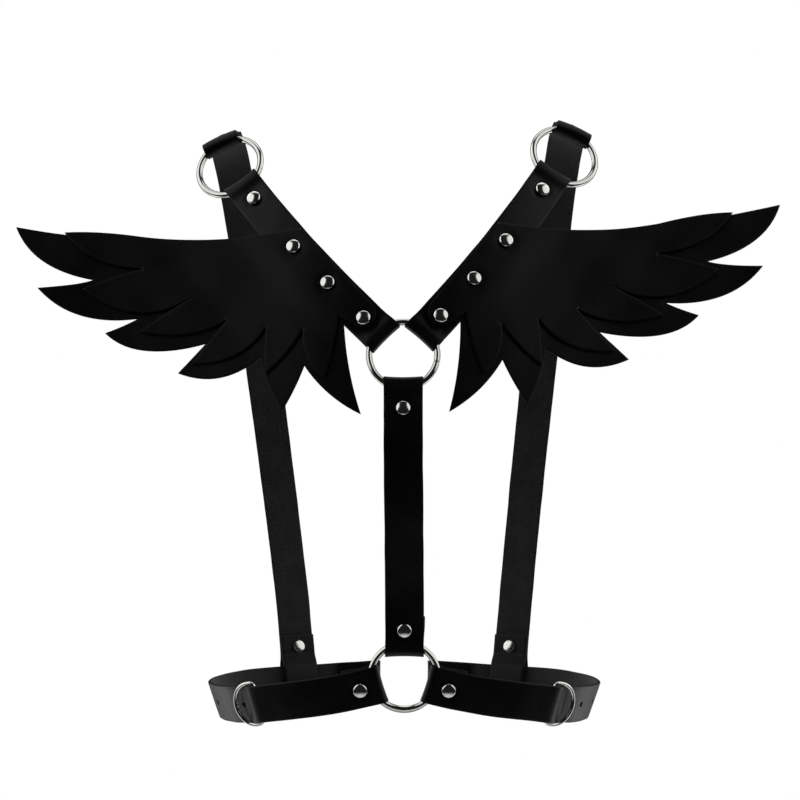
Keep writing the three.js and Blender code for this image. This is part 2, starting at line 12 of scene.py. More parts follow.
import bpy
import numpy as np
from mathutils.geometry import delaunay_2d_cdt
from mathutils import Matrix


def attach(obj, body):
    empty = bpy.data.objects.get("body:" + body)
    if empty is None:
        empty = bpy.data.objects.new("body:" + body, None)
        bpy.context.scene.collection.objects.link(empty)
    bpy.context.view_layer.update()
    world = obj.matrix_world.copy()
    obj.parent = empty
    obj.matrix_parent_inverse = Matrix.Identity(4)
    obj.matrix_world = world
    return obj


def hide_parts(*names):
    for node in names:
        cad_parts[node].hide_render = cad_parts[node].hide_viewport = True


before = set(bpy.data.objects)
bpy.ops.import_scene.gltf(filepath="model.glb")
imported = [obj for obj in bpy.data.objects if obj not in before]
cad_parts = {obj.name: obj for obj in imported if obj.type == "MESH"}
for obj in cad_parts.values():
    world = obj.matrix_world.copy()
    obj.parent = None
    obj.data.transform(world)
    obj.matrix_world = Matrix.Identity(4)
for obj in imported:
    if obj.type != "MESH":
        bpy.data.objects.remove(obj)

Array = np.ndarray
Pair = tuple[float, float]
Triple = tuple[float, float, float]
Colour = tuple[float, float, float, float]
Look = bpy.types.Material
Piece = bpy.types.Object

MM = 0.001
RIGHT = np.array([1.0, 0.0, 0.0])
FORWARD = np.array([0.0, 1.0, 0.0])
UP = np.array([0.0, 0.0, 1.0])
LOG = logging.getLogger("harness")
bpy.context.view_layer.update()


class Side(Enum):
    """A side of the harness: its sign along X, its tilt in degrees, belt holes and wing crest."""

    LEFT = (-1, -1.75, (10.0, 44.5), ((98.0, 61.0), (142.0, 67.8)))
    RIGHT = (1, 1.75, (28.0, 50.0), ((100.0, 60.0), (142.0, 66.3)))

    @property
    def sign(self) -> int:
        """Direction of this side along X."""
        return self.value[0]

    @property
    def tilt(self) -> float:
        """Turn of this side about the centre ring, in radians."""
        return math.radians(self.value[1])

    @property
    def holes(self) -> tuple[float, ...]:
        """Places of the punched holes, measured along the belt from the D-ring's bar."""
        return self.value[2]

    @property
    def crest(self) -> tuple[Pair, ...]:
        """Raised part of the upper wing layer's first edge: its pull and the place it runs to."""
        return self.value[3]

    def named(self, word: str) -> str:
        """A piece's name with this side at its end."""
        return f"{word}_{self.name.lower()}"


class Face(IntEnum):
    """Which face of the leather a polygon belongs to; the value is its material index."""

    GRAIN = 0
    EDGE = 1
    FLESH = 2


# Numbers and curves


def unit(vectors: Array) -> Array:
    """Vectors of length one, row by row."""
    return vectors / np.maximum(np.linalg.norm(vectors, axis=-1, keepdims=True), 1e-12)


def dot(a: Array, b: Array) -> Array:
    """Row by row dot product, kept as a column."""
    return np.sum(a * b, axis=-1, keepdims=True)


def ease(values: Array, low: float, high: float) -> Array:
    """A smooth step from 0 at low to 1 at high."""
    t = np.clip((values - low) / (high - low), 0.0, 1.0)
    return t * t * (3.0 - 2.0 * t)


def ripple(a: Array, b: Array, wave: float, seed: float) -> Array:
    """A gentle uneven swell between about -1 and 1.

    Args:
        a: First place along the surface.
        b: Second place along the surface.
        wave: Rough length of one swell.
        seed: Shifts the pattern, so that no two pieces match.

    Returns:
        The swell at each place.
    """
    k = 2.0 * math.pi / wave
    first = np.sin(k * a + 1.7 * seed) * np.cos(0.83 * k * b + 0.6 * seed)
    second = np.sin(0.57 * k * (a + b) + 2.9 * seed)
    third = np.cos(1.61 * k * (a - 0.7 * b) + 4.1 * seed)
    return 0.45 * first + 0.35 * second + 0.2 * third


class Curve:
    """A smooth line through given places, walked by its length."""

    def __init__(self, places: Array | Sequence[Sequence[float]], fine: int = 48) -> None:
        """Fits the line.

        Args:
            places: Points that the line passes through, in any number of dimensions.
            fine: Samples between two neighbouring points.
        """
        points = np.asarray(places, dtype=float)
        knots = np.vstack([2 * points[0] - points[1], points, 2 * points[-1] - points[-2]])
        t = np.linspace(0.0, 1.0, fine, endpoint=False)[:, None]
        pieces = []
        for a, b, c, d in zip(knots[:-3], knots[1:-2], knots[2:-1], knots[3:]):
            u, v, w = (max(float(np.linalg.norm(q - p)), 1e-6) ** 0.5 for p, q in ((a, b), (b, c), (c, d)))
            leave = ((b - a) / u - (c - a) / (u + v) + (c - b) / v) * v
            reach = ((c - b) / v - (d - b) / (v + w) + (d - c) / w) * v
            pieces.append(
                (2 * t**3 - 3 * t**2 + 1) * b
                + (t**3 - 2 * t**2 + t) * leave
                + (3 * t**2 - 2 * t**3) * c
                + (t**3 - t**2) * reach
            )
        self.samples = np.vstack([*pieces, points[-1:]])
        steps = np.linalg.norm(np.diff(self.samples, axis=0), axis=1)
        self.along = np.concatenate([[0.0], np.cumsum(steps)])
        self.length = float(self.along[-1])
        self.ways = unit(np.gradient(self.samples, self.along, axis=0))

    def way(self, s: Array) -> Array:
        """Directions of the line at the lengths s."""
        columns = [np.interp(s, self.along, column) for column in self.ways.T]
        return unit(np.stack(columns, axis=-1))

    def place(self, s: Array) -> Array:
        """Places on the line, carried on straight past its ends.

        Args:
            s: Lengths along the line.

        Returns:
            One place for each length.
        """
        columns = [np.interp(s, self.along, column) for column in self.samples.T]
        past = s - np.clip(s, 0.0, self.length)
        return np.stack(columns, axis=-1) + self.way(s) * past[..., None]


def bend(start: Array, way: Array, end: Array, arrive: Array, steps: int) -> Array:
    """A smooth bend from one place and direction to another.

    Args:
        start: Where it starts.
        way: Direction in which it leaves.
        end: Where it ends.
        arrive: Direction in which it arrives.
        steps: Number of its steps.

    Returns:
        The points of the bend, with both ends.
    """
    handle = np.linalg.norm(end - start) / 3.0
    leave, reach = start + way * handle, end - arrive * handle
    t = np.linspace(0.0, 1.0, steps + 1)[:, None]
    return (1 - t) ** 3 * start + 3 * (1 - t) ** 2 * t * leave + 3 * (1 - t) * t**2 * reach + t**3 * end


def parabola(a: Pair, b: Pair, c: Pair, steps: int) -> Array:
    """Points of a curve from a to c that is drawn towards b."""
    t = np.linspace(0.0, 1.0, steps + 1)[:, None]
    return (1 - t) ** 2 * np.array(a) + 2 * (1 - t) * t * np.array(b) + t**2 * np.array(c)


def full_turn(count: int) -> Array:
    """Even angles once round."""
    return np.linspace(0.0, 2.0 * math.pi, count, endpoint=False)


def round_about(turn: Array, first: Array, second: Array) -> Array:
    """Points of a circle of radius one, from the first axis towards the second."""
    return np.cos(turn)[:, None] * first + np.sin(turn)[:, None] * second


# Shader writing


class Signal:
    """A shader socket that can be used in Python expressions."""

    def __init__(self, shader: "Shader", socket: bpy.types.NodeSocket | None) -> None:
        """Wraps one output socket of a shader's node."""
        self.shader = shader
        self.socket = socket

    def _math(self, operation: str, first: "Signal | float", second: "Signal | float") -> "Signal":
        """Adds one Math node and returns its result."""
        return self.shader.node("ShaderNodeMath", {"operation": operation}, {0: first, 1: second})

    def __add__(self, other: "Signal | float") -> "Signal":
        """Sum of two values."""
        return self._math("ADD", self, other)

    __radd__ = __add__

    def __mul__(self, other: "Signal | float") -> "Signal":
        """Product of two values."""
        return self._math("MULTIPLY", self, other)

    __rmul__ = __mul__

    def __sub__(self, other: "Signal | float") -> "Signal":
        """Difference of two values."""
        return self._math("SUBTRACT", self, other)

    def __rsub__(self, other: "Signal | float") -> "Signal":
        """Difference of a number and this value."""
        return self._math("SUBTRACT", other, self)

    def __pow__(self, other: "Signal | float") -> "Signal":
        """This value raised to a power."""
        return self._math("POWER", self, other)

    def __rpow__(self, other: "Signal | float") -> "Signal":
        """A number raised to this value."""
        return self._math("POWER", other, self)


class Shader:
    """Writes the nodes of one material or of the world."""

    def __init__(self, owner: bpy.types.Material | bpy.types.World) -> None:
        """Starts an empty node tree.

        Args:
            owner: The material or world that the tree belongs to.
        """
        owner.use_nodes = True
        self.tree = owner.node_tree
        self.tree.nodes.clear()

    def node(
        self,
        kind: str,
        settings: dict[str, Any] | None = None,
        inputs: dict[Any, Any] | None = None,
        output: int | str = 0,
    ) -> Signal:
        """Adds any node.

        Args:
            kind: The node's type.
            settings: Its properties, which are set before its sockets.
            inputs: Values or signals for its sockets, by name or number.
            output: The output to return, by name or number.

        Returns:
            That output as a signal, which is empty for a node without outputs.
        """
        made = self.tree.nodes.new(kind)
        for key, value in (settings or {}).items():
            setattr(made, key, value)
        for key, value in (inputs or {}).items():
            if isinstance(value, Signal):
                self.tree.links.new(value.socket, made.inputs[key])
            else:
                made.inputs[key].default_value = value
        return Signal(self, made.outputs[output] if len(made.outputs) else None)

    def places(self) -> Signal:
        """Places on the piece, in metres."""
        return self.node("ShaderNodeTexCoord", output="Object")

    def stretched(self, scale: Triple) -> Signal:
        """Places on the piece with each axis scaled."""
        settings = {"operation": "MULTIPLY"}
        return self.node("ShaderNodeVectorMath", settings, {0: self.places(), 1: scale})

    def noise(
        self, scale: float, detail: float = 2.0, rough: float = 0.5, where: Signal | None = None
    ) -> Signal:
        """Soft cloudy noise between 0 and 1."""
        inputs = {"Vector": where or self.places(), "Scale": scale, "Detail": detail, "Roughness": rough}
        return self.node("ShaderNodeTexNoise", {}, inputs)

    def pebbles(self, scale: float, smooth: float) -> Signal:
        """Rounded cells of leather grain: 0 in their middles, rising to the creases."""
        inputs = {"Vector": self.places(), "Scale": scale, "Smoothness": smooth}
        return self.node("ShaderNodeTexVoronoi", {"feature": "SMOOTH_F1"}, inputs)

    def spread(
        self, value: Signal, low: float, high: float, to_low: float = 0.0, to_high: float = 1.0
    ) -> Signal:
        """Maps a value's range to another, with soft ends."""
        inputs = {"Value": value, 1: low, 2: high, 3: to_low, 4: to_high}
        return self.node("ShaderNodeMapRange", {"interpolation_type": "SMOOTHSTEP"}, inputs)

    def blend(self, share: Signal | float, first: Signal | Colour, second: Signal | Colour) -> Signal:
        """Mixes two colours."""
        settings = {"data_type": "RGBA"}
        return self.node("ShaderNodeMix", settings, {0: share, 6: first, 7: second}, output=2)

    def bump(self, height: Signal, strength: float, distance: float) -> Signal:
        """A surface normal that follows a height."""
        inputs = {"Height": height, "Strength": strength, "Distance": distance}
        return self.node("ShaderNodeBump", {}, inputs, output="Normal")

    def edge(self) -> Signal:
        """How near the cut edge a place is, from 0 to 1."""
        return self.node("ShaderNodeAttribute", {"attribute_name": "edge"}, output="Fac")

    def surface(self, inputs: dict[str, Any]) -> None:
        """Ends the tree with one surface shader."""
        made = self.node("ShaderNodeBsdfPrincipled", {}, inputs)
        self.node("ShaderNodeOutputMaterial", {}, {"Surface": made})


# Finishes


@dataclass(frozen=True)
class Finish:
    """A finish of the scene; each kind writes its own nodes."""

    name: str

    def material(self) -> Look:
        """Makes the material.

        Returns:
            The new material.
        """
        made = bpy.data.materials.new(self.name)
        self.dress(Shader(made))
        return made

    def dress(self, s: Shader) -> None:
        """Writes the nodes of the finish."""
        raise NotImplementedError


@dataclass(frozen=True)
class GrainFinish(Finish):
    """Smooth black leather with a satin top coat, fine pores and slightly worn edges."""

    dark: Colour = (0.0024, 0.0024, 0.0026, 1.0)
    light: Colour = (0.0054, 0.0052, 0.0055, 1.0)
    worn: Colour = (0.0046, 0.0036, 0.0031, 1.0)
    roughness: float = 0.33
    cloud: float = 38.0
    speck: float = 420.0
    pore: float = 1500.0
    bump: float = 0.16
    bump_depth: float = 0.00022
    gloss: float = 1.27
    coat: float = 0.04
    coat_roughness: float = 0.3

    def dress(self, s: Shader) -> None:
        """Writes the nodes of the finish.

        Args:
            s: The material's shader.
        """
        cloud = s.noise(self.cloud, 3.0, 0.55)
        fine = s.noise(self.speck, 2.0, 0.6)
        edge = s.edge()
        body = s.blend(s.spread(cloud * 0.75 + fine * 0.25, 0.36, 0.66), self.dark, self.light)
        colour = s.blend(edge**2.2 * s.spread(fine, 0.3, 0.7, 0.55, 1.0), body, self.worn)
        rough = self.roughness + (cloud - 0.5) * 0.13 + (fine - 0.5) * 0.1 + edge**2.0 * 0.1
        grain = s.pebbles(self.pore, 0.6) * 0.7 + s.noise(900.0, 3.0, 0.6) * 0.55 + s.noise(130.0) * 1.2
        inputs = {
            "Base Color": colour,
            "Roughness": rough,
            "Normal": s.bump(grain, self.bump, self.bump_depth),
            "IOR": self.gloss,
            "Coat Roughness": self.coat_roughness,
            "Coat Weight": self.coat,
        }
        s.surface(inputs)


@dataclass(frozen=True)
class WingGrainFinish(GrainFinish):
    """The leather of the wings: darker, duller and with larger pores."""

    dark: Colour = (0.0016, 0.0016, 0.0018, 1.0)
    light: Colour = (0.0036, 0.0035, 0.0037, 1.0)
    roughness: float = 0.36
    pore: float = 1350.0
    gloss: float = 1.235


@dataclass(frozen=True)
class CutEdgeFinish(Finish):
    """Raw cut edge of the leather: dark brown, dull and fibrous."""

    dark: Colour = (0.0016, 0.0014, 0.0013, 1.0)
    light: Colour = (0.0062, 0.0045, 0.0036, 1.0)
    fibre: float = 1900.0
    cloud: float = 160.0
    bump: float = 0.45
    bump_depth: float = 0.0003
    gloss: float = 1.24

    def dress(self, s: Shader) -> None:
        """Writes the nodes of the finish.

        Args:
            s: The material's shader.
        """
        fibres = s.noise(self.fibre, 4.0, 0.7)
        cloud = s.noise(self.cloud, 2.0)
        share = s.spread(fibres * 0.6 + cloud * 0.4, 0.34, 0.68)
        inputs = {
            "Base Color": s.blend(share, self.dark, self.light),
            "Roughness": 0.74 + fibres * 0.2,
            "Normal": s.bump(fibres, self.bump, self.bump_depth),
            "IOR": self.gloss,
        }
        s.surface(inputs)


@dataclass(frozen=True)
class FleshFinish(Finish):
    """Underside of the leather: charcoal, napped and dull."""

    dark: Colour = (0.012, 0.0115, 0.0115, 1.0)
    light: Colour = (0.03, 0.028, 0.027, 1.0)
    nap: float = 1300.0
    cloud: float = 75.0
    bump: float = 0.5
    bump_depth: float = 0.0004
    sheen: float = 0.15
    sheen_roughness: float = 0.5
    gloss: float = 1.35

    def dress(self, s: Shader) -> None:
        """Writes the nodes of the finish.

        Args:
            s: The material's shader.
        """
        nap = s.noise(self.nap, 5.0, 0.72)
        cloud = s.noise(self.cloud, 3.0, 0.6)
        share = s.spread(nap * 0.55 + cloud * 0.45, 0.34, 0.66)
        inputs = {
            "Base Color": s.blend(share, self.dark, self.light),
            "Roughness": 0.78 + nap * 0.18,
            "Normal": s.bump(nap, self.bump, self.bump_depth),
            "Sheen Weight": self.sheen,
            "Sheen Roughness": self.sheen_roughness,
            "IOR": self.gloss,
        }
        s.surface(inputs)


@dataclass(frozen=True)
class NickelFinish(Finish):
    """Polished nickel plate with faint polishing lines and handling marks.

    line, mark and dent are how fine its lines, marks and dents are, and marked is where the marks
    begin and end in their noise. rim is the share of its colour that is painted dark, towards a
    painted rim shade, where the plate turns away from the viewer, over the part of Layer Weight
    that turning names: painted shade that stands for dark surroundings reflected there and follows
    the camera. Specular Tint is lowered by the same share.
    """

    bright: Colour = (0.78, 0.77, 0.75, 1.0)
    dull: Colour = (0.62, 0.6, 0.575, 1.0)
    # Painted shade: the near-black colour painted on the plate's rim where it turns away from the viewer
    painted_rim_shade: Colour = (0.04, 0.037, 0.034, 1.0)
    roughness: float = 0.075
    line: float = 600.0
    mark: float = 330.0
    dent: float = 210.0
    bump: float = 0.05
    bump_depth: float = 0.0002
    marked: Pair = (0.5, 0.78)
    rim: float = 0.0
    turning: Pair = (0.36, 0.66)

    def dress(self, s: Shader) -> None:
        """Writes the nodes of the finish.

        Args:
            s: The material's shader.
        """
        lines = s.noise(self.line, 3.0, 0.6, s.stretched((1.0, 1.0, 6.0)))
        marks = s.spread(s.noise(self.mark, 4.0, 0.65), *self.marked)
        # Painted shade: Base Color is darkened towards the rim as the viewer sees it, so this dark rim
        # follows the camera
        facing = s.node("ShaderNodeLayerWeight", {}, {"Blend": 0.5}, output="Facing")
        plain = s.blend(marks * 0.6, self.bright, self.dull)
        edge = 1.0 - self.rim
        inputs = {
            "Base Color": s.blend(s.spread(facing, *self.turning) * self.rim, plain, self.painted_rim_shade),
            "Specular Tint": (edge, edge, edge, 1.0),
            "Metallic": 1.0,
            "Roughness": self.roughness + lines * 0.05 + marks * 0.1,
            "Normal": s.bump(lines * 0.5 + s.noise(self.dent) * 0.9, self.bump, self.bump_depth),
        }
        s.surface(inputs)


@dataclass(frozen=True)
class FloorFinish(Finish):
    """Pale matt floor that fades out at its rim."""

    colour: Colour = (0.86, 0.86, 0.86, 1.0)
    fade_from: float = 0.2
    fade_to: float = 0.56

    def dress(self, s: Shader) -> None:
        """Writes the nodes of the finish.

        Args:
            s: The material's shader.
        """
        flat = s.stretched((1.0, 1.0, 0.0))
        far = s.node("ShaderNodeVectorMath", {"operation": "LENGTH"}, {0: flat}, output="Value")
        gone = s.spread(far, self.fade_from, self.fade_to)
        matt = s.node("ShaderNodeBsdfPrincipled", {}, {"Base Color": self.colour, "Roughness": 0.9})
        clear = s.node("ShaderNodeBsdfTransparent")
        mixed = s.node("ShaderNodeMixShader", {}, {0: gone, 1: matt, 2: clear})
        s.node("ShaderNodeOutputMaterial", {}, {"Surface": mixed})


class Finishes:
    """The materials of the harness, made once and shared."""

    def __init__(self) -> None:
        """Makes every material."""
        self.strap = [
            GrainFinish("strap_grain").material(),
            CutEdgeFinish("strap_cut_edge").material(),
            FleshFinish("strap_underside").material(),
        ]
        self.wing = [
            WingGrainFinish("wing_grain").material(),
            CutEdgeFinish("wing_cut_edge").material(),
            FleshFinish("wing_underside").material(),
        ]
        # Painted shade on the metal: a strong dark rim on the rings, a faint one on the D-rings, none on
        # the rivets
        self.ring = [NickelFinish("ring_nickel", bright=(0.7, 0.69, 0.67, 1.0), rim=0.88).material()]
        self.d_ring = [NickelFinish("d_ring_nickel", rim=0.25).material()]
        self.rivet = [NickelFinish("rivet_nickel", roughness=0.1).material()]


# Pieces


@dataclass
class Shell:
    """Points and faces of one piece, in millimetres."""

    points: Array
    faces: list[Sequence[int]]
    kinds: list[int] = field(default_factory=list)
    edge: Array | None = None

    def turn_out(self) -> None:
        """Turns the faces outwards."""
        total = 0.0
        for f in self.faces:
            a, b, c = (self.points[f[k * len(f) // 3]] for k in range(3))
            total += float(np.dot(a, np.cross(b, c))) * (2 if len(f) == 4 else 1)
        if total < 0:
            self.faces = [tuple(reversed(f)) for f in self.faces]

    def mesh(self, name: str, looks: Sequence[Look]) -> bpy.types.Mesh:
        """Makes a mesh with its faces turned outwards.

        Args:
            name: The mesh's name.
            looks: Its materials, in the order of the shell's kinds.

        Returns:
            The new mesh, in metres.
        """
        self.turn_out()
        made = bpy.data.meshes.new(name)
        made.from_pydata((self.points * MM).tolist(), [], self.faces)
        for look in looks:
            made.materials.append(look)
        if self.kinds:
            made.polygons.foreach_set("material_index", self.kinds)
        if self.edge is not None:
            made.attributes.new("edge", "FLOAT", "POINT").data.foreach_set("value", self.edge)
        return made


def put_in_scene(name: str, data: bpy.types.ID) -> Piece:
    """Adds an object with the given mesh or camera to the scene.

    Args:
        name: The object's name.
        data: What it shows.

    Returns:
        The new object.
    """
    made = bpy.data.objects.new(name, data)
    bpy.context.scene.collection.objects.link(made)
    return made


class Bench:
    """Turns shells into Blender objects that stand for the CAD pieces."""

    punch_sides: int = 28
    punch_depths: Pair = (-6.0, 8.0)

    def __init__(self) -> None:
        """Makes the finishes and an empty list of pieces."""
        self.finishes = Finishes()
        self.made: list[Piece] = []

    def piece(self, node: str, shell: Shell, looks: list[Look], sharp: float = 60.0) -> Piece:
        """Makes one piece.

        Args:
            node: The CAD piece that it stands for.
            shell: Its points and faces.
            looks: Its materials, in the order of the shell's kinds.
            sharp: Edges that turn by more than this, in degrees, stay crisp.

        Returns:
            The new object.
        """
        mesh = shell.mesh(f"{node}.mesh", looks)
        mesh.polygons.foreach_set("use_smooth", [True] * len(mesh.polygons))
        mesh.set_sharp_from_angle(angle=math.radians(sharp))
        mesh.update()
        made = put_in_scene(f"{node}.made", mesh)
        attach(made, "root")
        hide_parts(node)
        self.made.append(made)
        LOG.info("%s: %d points, %d faces", node, len(mesh.vertices), len(mesh.polygons))
        return made

    def punch(self, made: Piece, bores: Sequence[tuple[Array, Array, float]]) -> None:
        """Punches round holes through a leather piece.

        Args:
            made: The piece.
            bores: Each hole's place, axis and radius, in millimetres.
        """
        points: list[Array] = []
        faces: list[Sequence[int]] = []
        count = self.punch_sides
        for place, axis, radius in bores:
            across = unit(np.cross(axis, UP))
            ring = round_about(full_turn(count), across, np.cross(axis, across))
            low = [len(points) + k for k in range(count)]
            high = [k + count for k in low]
            for depth in self.punch_depths:
                points.extend(place + axis * depth + radius * ring)
            faces += [low[::-1], high]
            faces += [(low[k], low[k - 1], high[k - 1], high[k]) for k in range(count)]
        shell = Shell(np.array(points), faces, [int(Face.EDGE)] * len(faces))
        cutter = put_in_scene("punch", shell.mesh("punch.mesh", made.data.materials))
        cut = made.modifiers.new("punch", "BOOLEAN")
        cut.operation = "DIFFERENCE"
        cut.solver = "EXACT"
        cut.object = cutter
        graph = bpy.context.evaluated_depsgraph_get()
        punched = bpy.data.meshes.new_from_object(made.evaluated_get(graph))
        made.modifiers.clear()
        made.data = punched
        bpy.data.objects.remove(cutter)


# The back that the straps and wings lie on


@dataclass(frozen=True)
class BackForm:
    """The back as a smooth surface, and the flatter one that the wings follow."""

    ring_y: float = -98.0
    ring_z: float = -125.0
    slope: float = 0.27
    curve: float = 0.0014
    round: float = 0.00205
    flat_from: float = 62.0
    wing_return: float = 0.0008

    def back(self, x: Array, z: Array) -> Array:
        """Depth of the back at each x and z."""
        up = z - self.ring_z
        return self.ring_y + self.slope * up + self.curve * up**2 + self.round * x**2

    def wing(self, x: Array, z: Array) -> Array:
        """Depth of the wings' surface, which turns outwards beyond flat_from.

        Args:
            x: Places across.
            z: Heights.

        Returns:
            The depth at each place.
        """
        past = np.maximum(0.0, np.abs(x) - self.flat_from)
        near = np.minimum(np.abs(x), self.flat_from)
        up = z - self.ring_z
        spread = near**2 + 2 * self.flat_from * past
        swell = self.slope * up + self.curve * up**2
        return self.ring_y + swell + self.round * spread - self.wing_return * past**2

    @staticmethod
    def normal(height: Callable[[Array, Array], Array], x: Array, z: Array) -> Array:
        """Outward directions of a surface.

        Args:
            height: Depth of the surface at given places across and heights.
            x: Places across.
            z: Heights.

        Returns:
            The direction at each place.
        """
        dx = height(x + 0.5, z) - height(x - 0.5, z)
        dz = height(x, z + 0.5) - height(x, z - 0.5)
        return unit(np.stack([dx, -np.ones_like(dx), dz], axis=-1))

    def on(self, height: Callable[[Array, Array], Array], x: Array, z: Array, rise: Array | float) -> Array:
        """Places that stand a given way off a surface."""
        foot = np.stack([x, height(x, z), z], axis=-1)
        return foot + self.normal(height, x, z) * np.asarray(rise)[..., None]

    def turned(self, side: Side, out: Array, up: Array) -> tuple[Array, Array]:
        """Places in the plane of the back, turned about the centre ring for their side."""
        c, s = math.cos(side.tilt), math.sin(side.tilt)
        return side.sign * (out * c - up * s), self.ring_z + out * s + up * c


class Frame(NamedTuple):
    """Place, direction, outward normal and crosswise direction along a strap."""

    p: Array
    t: Array
    n: Array
    w: Array


class StrapPath(Protocol):
    """The middle line of a strap with the directions of the strap along it."""

    length: float

    def frame(self, s: Array) -> Frame:
        """Frames at the lengths s."""

    def at(self, s: Array, w: Array, h: Array) -> Array:
        """Places at the lengths s, offset crosswise and outwards."""


class FreePath:
    """A strap that hangs in space, with a given crosswise direction."""

    def __init__(self, curve: Curve, across: Callable[[Array, Array, Array], Array], flip: int) -> None:
        """Keeps what the strap follows.

        Args:
            curve: Its middle line.
            across: Gives the crosswise direction from the share of the length, place and direction.
            flip: 1 or -1, for the face that is outside.
        """
        self.curve = curve
        self.across = across
        self.flip = flip
        self.length = curve.length

    def frame(self, s: Array) -> Frame:
        """Frames along the strap.

        Args:
            s: Lengths along the middle line.

        Returns:
            The frame at each length.
        """
        t = self.curve.way(s)
        p = self.curve.place(s)
        w = self.across(np.clip(s / self.length, 0.0, 1.0), p, t)
        w = unit(w - t * dot(w, t))
        return Frame(p, t, np.cross(w, t) * self.flip, w)

    def at(self, s: Array, w: Array, h: Array) -> Array:
        """Places at the lengths s, offset crosswise and outwards."""
        f = self.frame(s)
        return f.p + f.w * w[..., None] + f.n * h[..., None]


class BackPath:
    """A strap that lies on the back."""

    def __init__(self, form: BackForm, side: Side, turn: Pair, end: Pair) -> None:
        """Lays the strap's middle line on the back.

        Args:
            form: The back.
            side: The strap's side.
            turn: Place that the line is drawn towards, out from and up from the centre ring.
            end: Where the line ends.
        """
        flat = parabola((0.0, 0.0), turn, end, 24)
        x, z = form.turned(side, flat[:, 0], flat[:, 1])
        self.form = form
        self.curve = Curve(np.stack([x, form.back(x, z), z], axis=-1))
        self.length = self.curve.length

    def frame(self, s: Array) -> Frame:
        """Frames along the strap.

        Args:
            s: Lengths along the middle line.

        Returns:
            The frame at each length.
        """
        p = self.curve.place(s)
        t = self.curve.way(s)
        n = self.form.normal(self.form.back, p[..., 0], p[..., 2])
        n = unit(n - t * dot(n, t))
        return Frame(p, t, n, np.cross(t, n))

    def at(self, s: Array, w: Array, h: Array) -> Array:
        """Places at the lengths s, offset crosswise and outwards."""
        f = self.frame(s)
        return self.form.on(self.form.back, f.p[..., 0] + w * f.w[..., 0], f.p[..., 2] + w * f.w[..., 2], h)


# Leather straps

WIDTH = 20.4
LEATHER = 2.0
GAP = 0.3
LAYER = LEATHER / 2 + GAP / 2
STACK = LAYER + LEATHER / 2

# Underside and top of two layers of strap: flat, and near the waist ring where the folds gape
FLAT_STACK = (-STACK, STACK)
WAIST_STACK = (-STACK - 1.8, STACK + 1.5)


@dataclass(frozen=True)
class Fold:
    """A strap's end, folded round a ring or the belt.

    at is where the loop starts to close, reach runs from there to the middle of the bend, half and
    lift are the loop's half height and the rise of its middle, sag and drop show how its edges
    follow the wire, close and ease are the lengths over which its inner and outer runs close, tail
    is the end of the strap, aside is how far the tail lies out of line, and thin is the share of
    the leather's thickness that is left where it is pared down for the bend.
    """

    at: float
    reach: float
    half: float
    close: float
    ease: float
    tail: float
    lift: float = 0.0
    sag: float = 0.0
    drop: float = 0.0
    aside: float = 0.0
    thin: float = 1.0

    def rows(self) -> Array:
        """Lays the fold out from the tail to the strap's run.

        Returns:
            Rows of length, height, sag, drop, sideways offset and share of the thickness.
        """
        turn = np.linspace(1.5, 0.5, 11) * math.pi
        full = (-self.sag, -self.drop, 0.0, self.thin)
        low = [
            (self.at + self.tail, -LAYER, 0.0, 0.0, self.aside, 1.0),
            (self.at + 0.55 * self.tail, -LAYER, 0.0, 0.0, 0.7 * self.aside, 1.0),
            (self.at + self.close, -LAYER, 0.0, -0.1 * self.drop, 0.3 * self.aside, 1.0),
            (self.at, self.lift - self.half, *full),
        ]
        loop = [
            (self.at - self.reach + self.half * math.cos(a), self.lift + self.half * math.sin(a), *full)
            for a in turn
        ]
        high = [
            (self.at, self.lift + self.half, *full),
            (self.at + self.ease, LAYER, 0.0, -0.1 * self.drop, 0.0, 1.0),
        ]
        return np.array(low + loop + high)


RING_RADIUS = 18.25
RING_FOLD = Fold(at=RING_RADIUS, reach=2.5, half=2.75, close=4.4, ease=4.8, tail=17.0, sag=0.5, thin=0.55)
SHOULDER_FOLD = replace(
    RING_FOLD, reach=1.6, half=3.8, lift=-0.4, close=6.0, ease=9.0, tail=20.0, sag=0.6, drop=0.6
)
WAIST_FOLD = replace(RING_FOLD, lift=-0.6, close=5.0, ease=24.0, tail=15.0, aside=0.7)
SPINE_FOLD = replace(WAIST_FOLD, reach=3.6)
BELT_FOLD = Fold(at=24.5, reach=20.5, half=3.3, close=6.0, ease=6.0, tail=18.0)
FRONT_FOLD = replace(RING_FOLD, at=19.7, tail=20.0)


